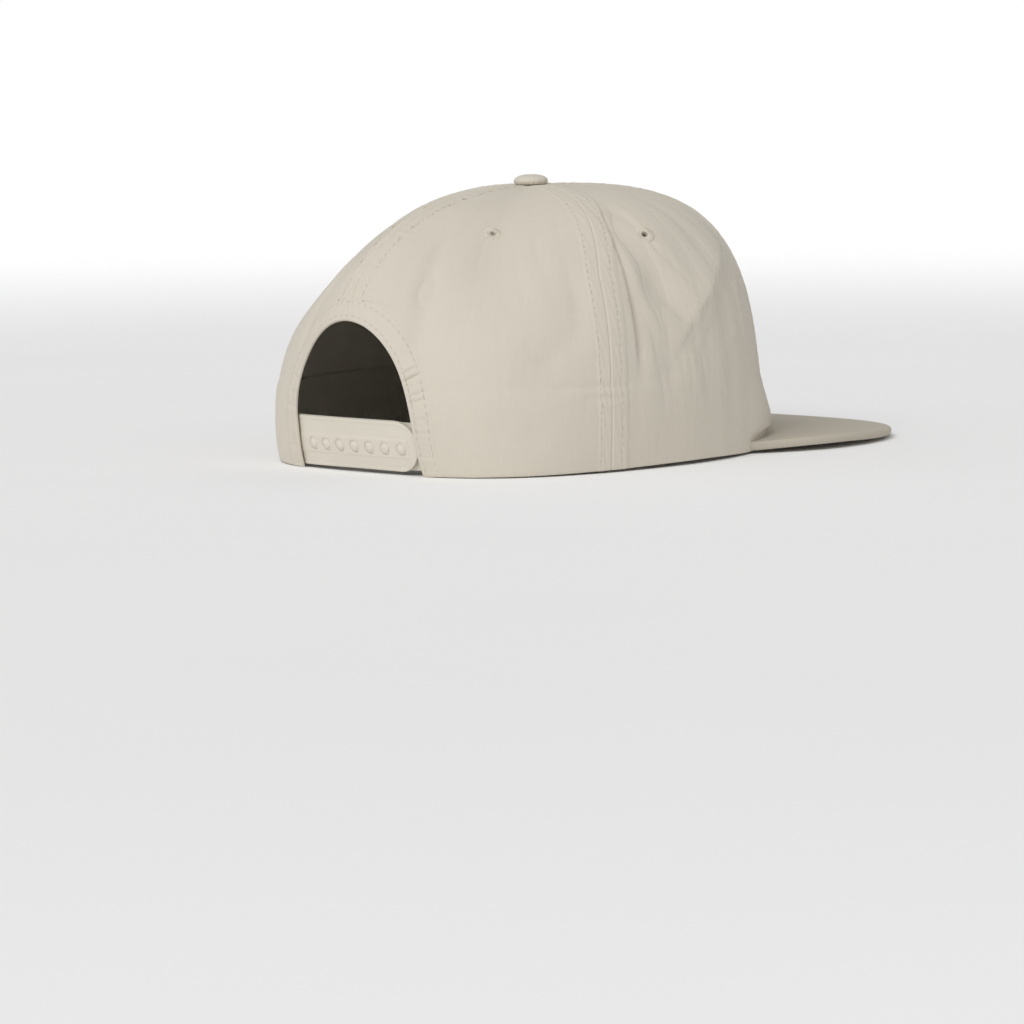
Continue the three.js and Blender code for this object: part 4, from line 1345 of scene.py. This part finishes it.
back = np.array([
    -math.sin(VIEW_TURN) * math.cos(VIEW_RISE),
    math.cos(VIEW_TURN) * math.cos(VIEW_RISE),
    math.sin(VIEW_RISE),
])
right = np.array([-math.cos(VIEW_TURN), -math.sin(VIEW_TURN), 0])
up = np.cross(back, right)
c, s = math.cos(VIEW_ROLL), math.sin(VIEW_ROLL)
axes = np.stack([c * right - s * up, s * right + c * up, back])
spot = at_rest(np.array([-VIEW_ASIDE, -VIEW_UP, VIEW_DISTANCE]) @ axes)
camera = add_object("camera", bpy.data.cameras.new("camera"))
camera.data.sensor_width = SENSOR
camera.data.lens = FOCAL_PIXELS / PICTURE_PIXELS * SENSOR
camera.matrix_world = pose(axes @ TIP_TURN.T, spot)
bpy.context.scene.camera = camera
print("camera at", spot.round(3), "lens", round(camera.data.lens, 2))

# %% [markdown]
# The cap stands on a wide white floor under soft studio light: a broad key light from the
# left of the camera and well above it, and a room that is brighter behind the camera. The
# floor fades into the white room, so no horizon shows. The colours are shown without a film
# look, so that the cloth keeps its own stone colour.

# %% Floor and light
FLOOR_HALF, FLOOR_SOLID, FLOOR_GONE = 3.0, 0.55, 1.9
floor_mesh = bpy.data.meshes.new("floor")
corners = [(x * FLOOR_HALF, y * FLOOR_HALF, 0) for x, y in ((-1, -1), (1, -1), (1, 1), (-1, 1))]
floor_mesh.from_pydata(corners, [], [(0, 1, 2, 3)])
finish = Finish("floor_white", Roughness=0.95, Specular_IOR_Level=0.1)
place = finish.node("ShaderNodeTexCoord", {}, {}, 3)
from_cap = finish.node("ShaderNodeVectorMath", {"operation": "LENGTH"}, {0: place}, 1)
there = finish.node("ShaderNodeMapRange", {"interpolation_type": "SMOOTHSTEP"}, {
    "Value": from_cap, "From Min": FLOOR_SOLID, "From Max": FLOOR_GONE,
    "To Min": 1.0, "To Max": 0.0,
})
white = finish.blend(finish.noise(place, 6, 2), (0.95, 0.95, 0.95, 1), (0.98, 0.98, 0.98, 1))
floor_mesh.materials.append(finish.feed(Base_Color=white, Alpha=there))
add_object("floor", floor_mesh)

KEY_TURN, KEY_RISE = math.radians(27), math.radians(34)
KEY_STRENGTH, KEY_SOFTNESS = 1.22, math.radians(32)
ROOM_LIGHT, ROOM_SEEN, ROOM_LEAN, ROOM_TURN = 0.54, 1.0, 0.34, math.radians(20)

away = math.cos(KEY_TURN) * axes[2] - math.sin(KEY_TURN) * axes[0]
away = math.cos(KEY_RISE) * away + math.sin(KEY_RISE) * axes[1]
aside = unit(np.cross([0, 0, 1.0], away))
key = add_object("key", bpy.data.lights.new("key", "SUN"))
key.data.energy, key.data.angle = KEY_STRENGTH, KEY_SOFTNESS
key.matrix_world = pose([aside, np.cross(away, aside), away], 2 * away)

# The room: its light on the cap leans towards one side, and the camera sees it plain white.
world = bpy.data.worlds.new("studio")
bpy.context.scene.world = world
world.use_nodes = True
room = Graph(world.node_tree)
brightest = math.cos(ROOM_TURN) * axes[2] - math.sin(ROOM_TURN) * axes[0]
direction = room.node("ShaderNodeTexCoord", {}, {})
towards = room.node(
    "ShaderNodeVectorMath", {"operation": "DOT_PRODUCT"}, {0: direction, 1: brightest.tolist()}, 1,
)
lit = room.node("ShaderNodeMapRange", {}, {
    "Value": towards, "From Min": -1, "To Min": ROOM_LIGHT * (1 - ROOM_LEAN),
    "To Max": ROOM_LIGHT * (1 + ROOM_LEAN),
})
seen = room.node("ShaderNodeLightPath", {}, {})
strength = room.node("ShaderNodeMapRange", {}, {"Value": seen, "To Min": lit, "To Max": ROOM_SEEN})
background = world.node_tree.nodes["Background"]
room.plug(background.inputs["Color"], (1, 1, 1, 1))
room.plug(background.inputs["Strength"], strength)
bpy.context.scene.view_settings.view_transform = "Standard"
print("studio ready")
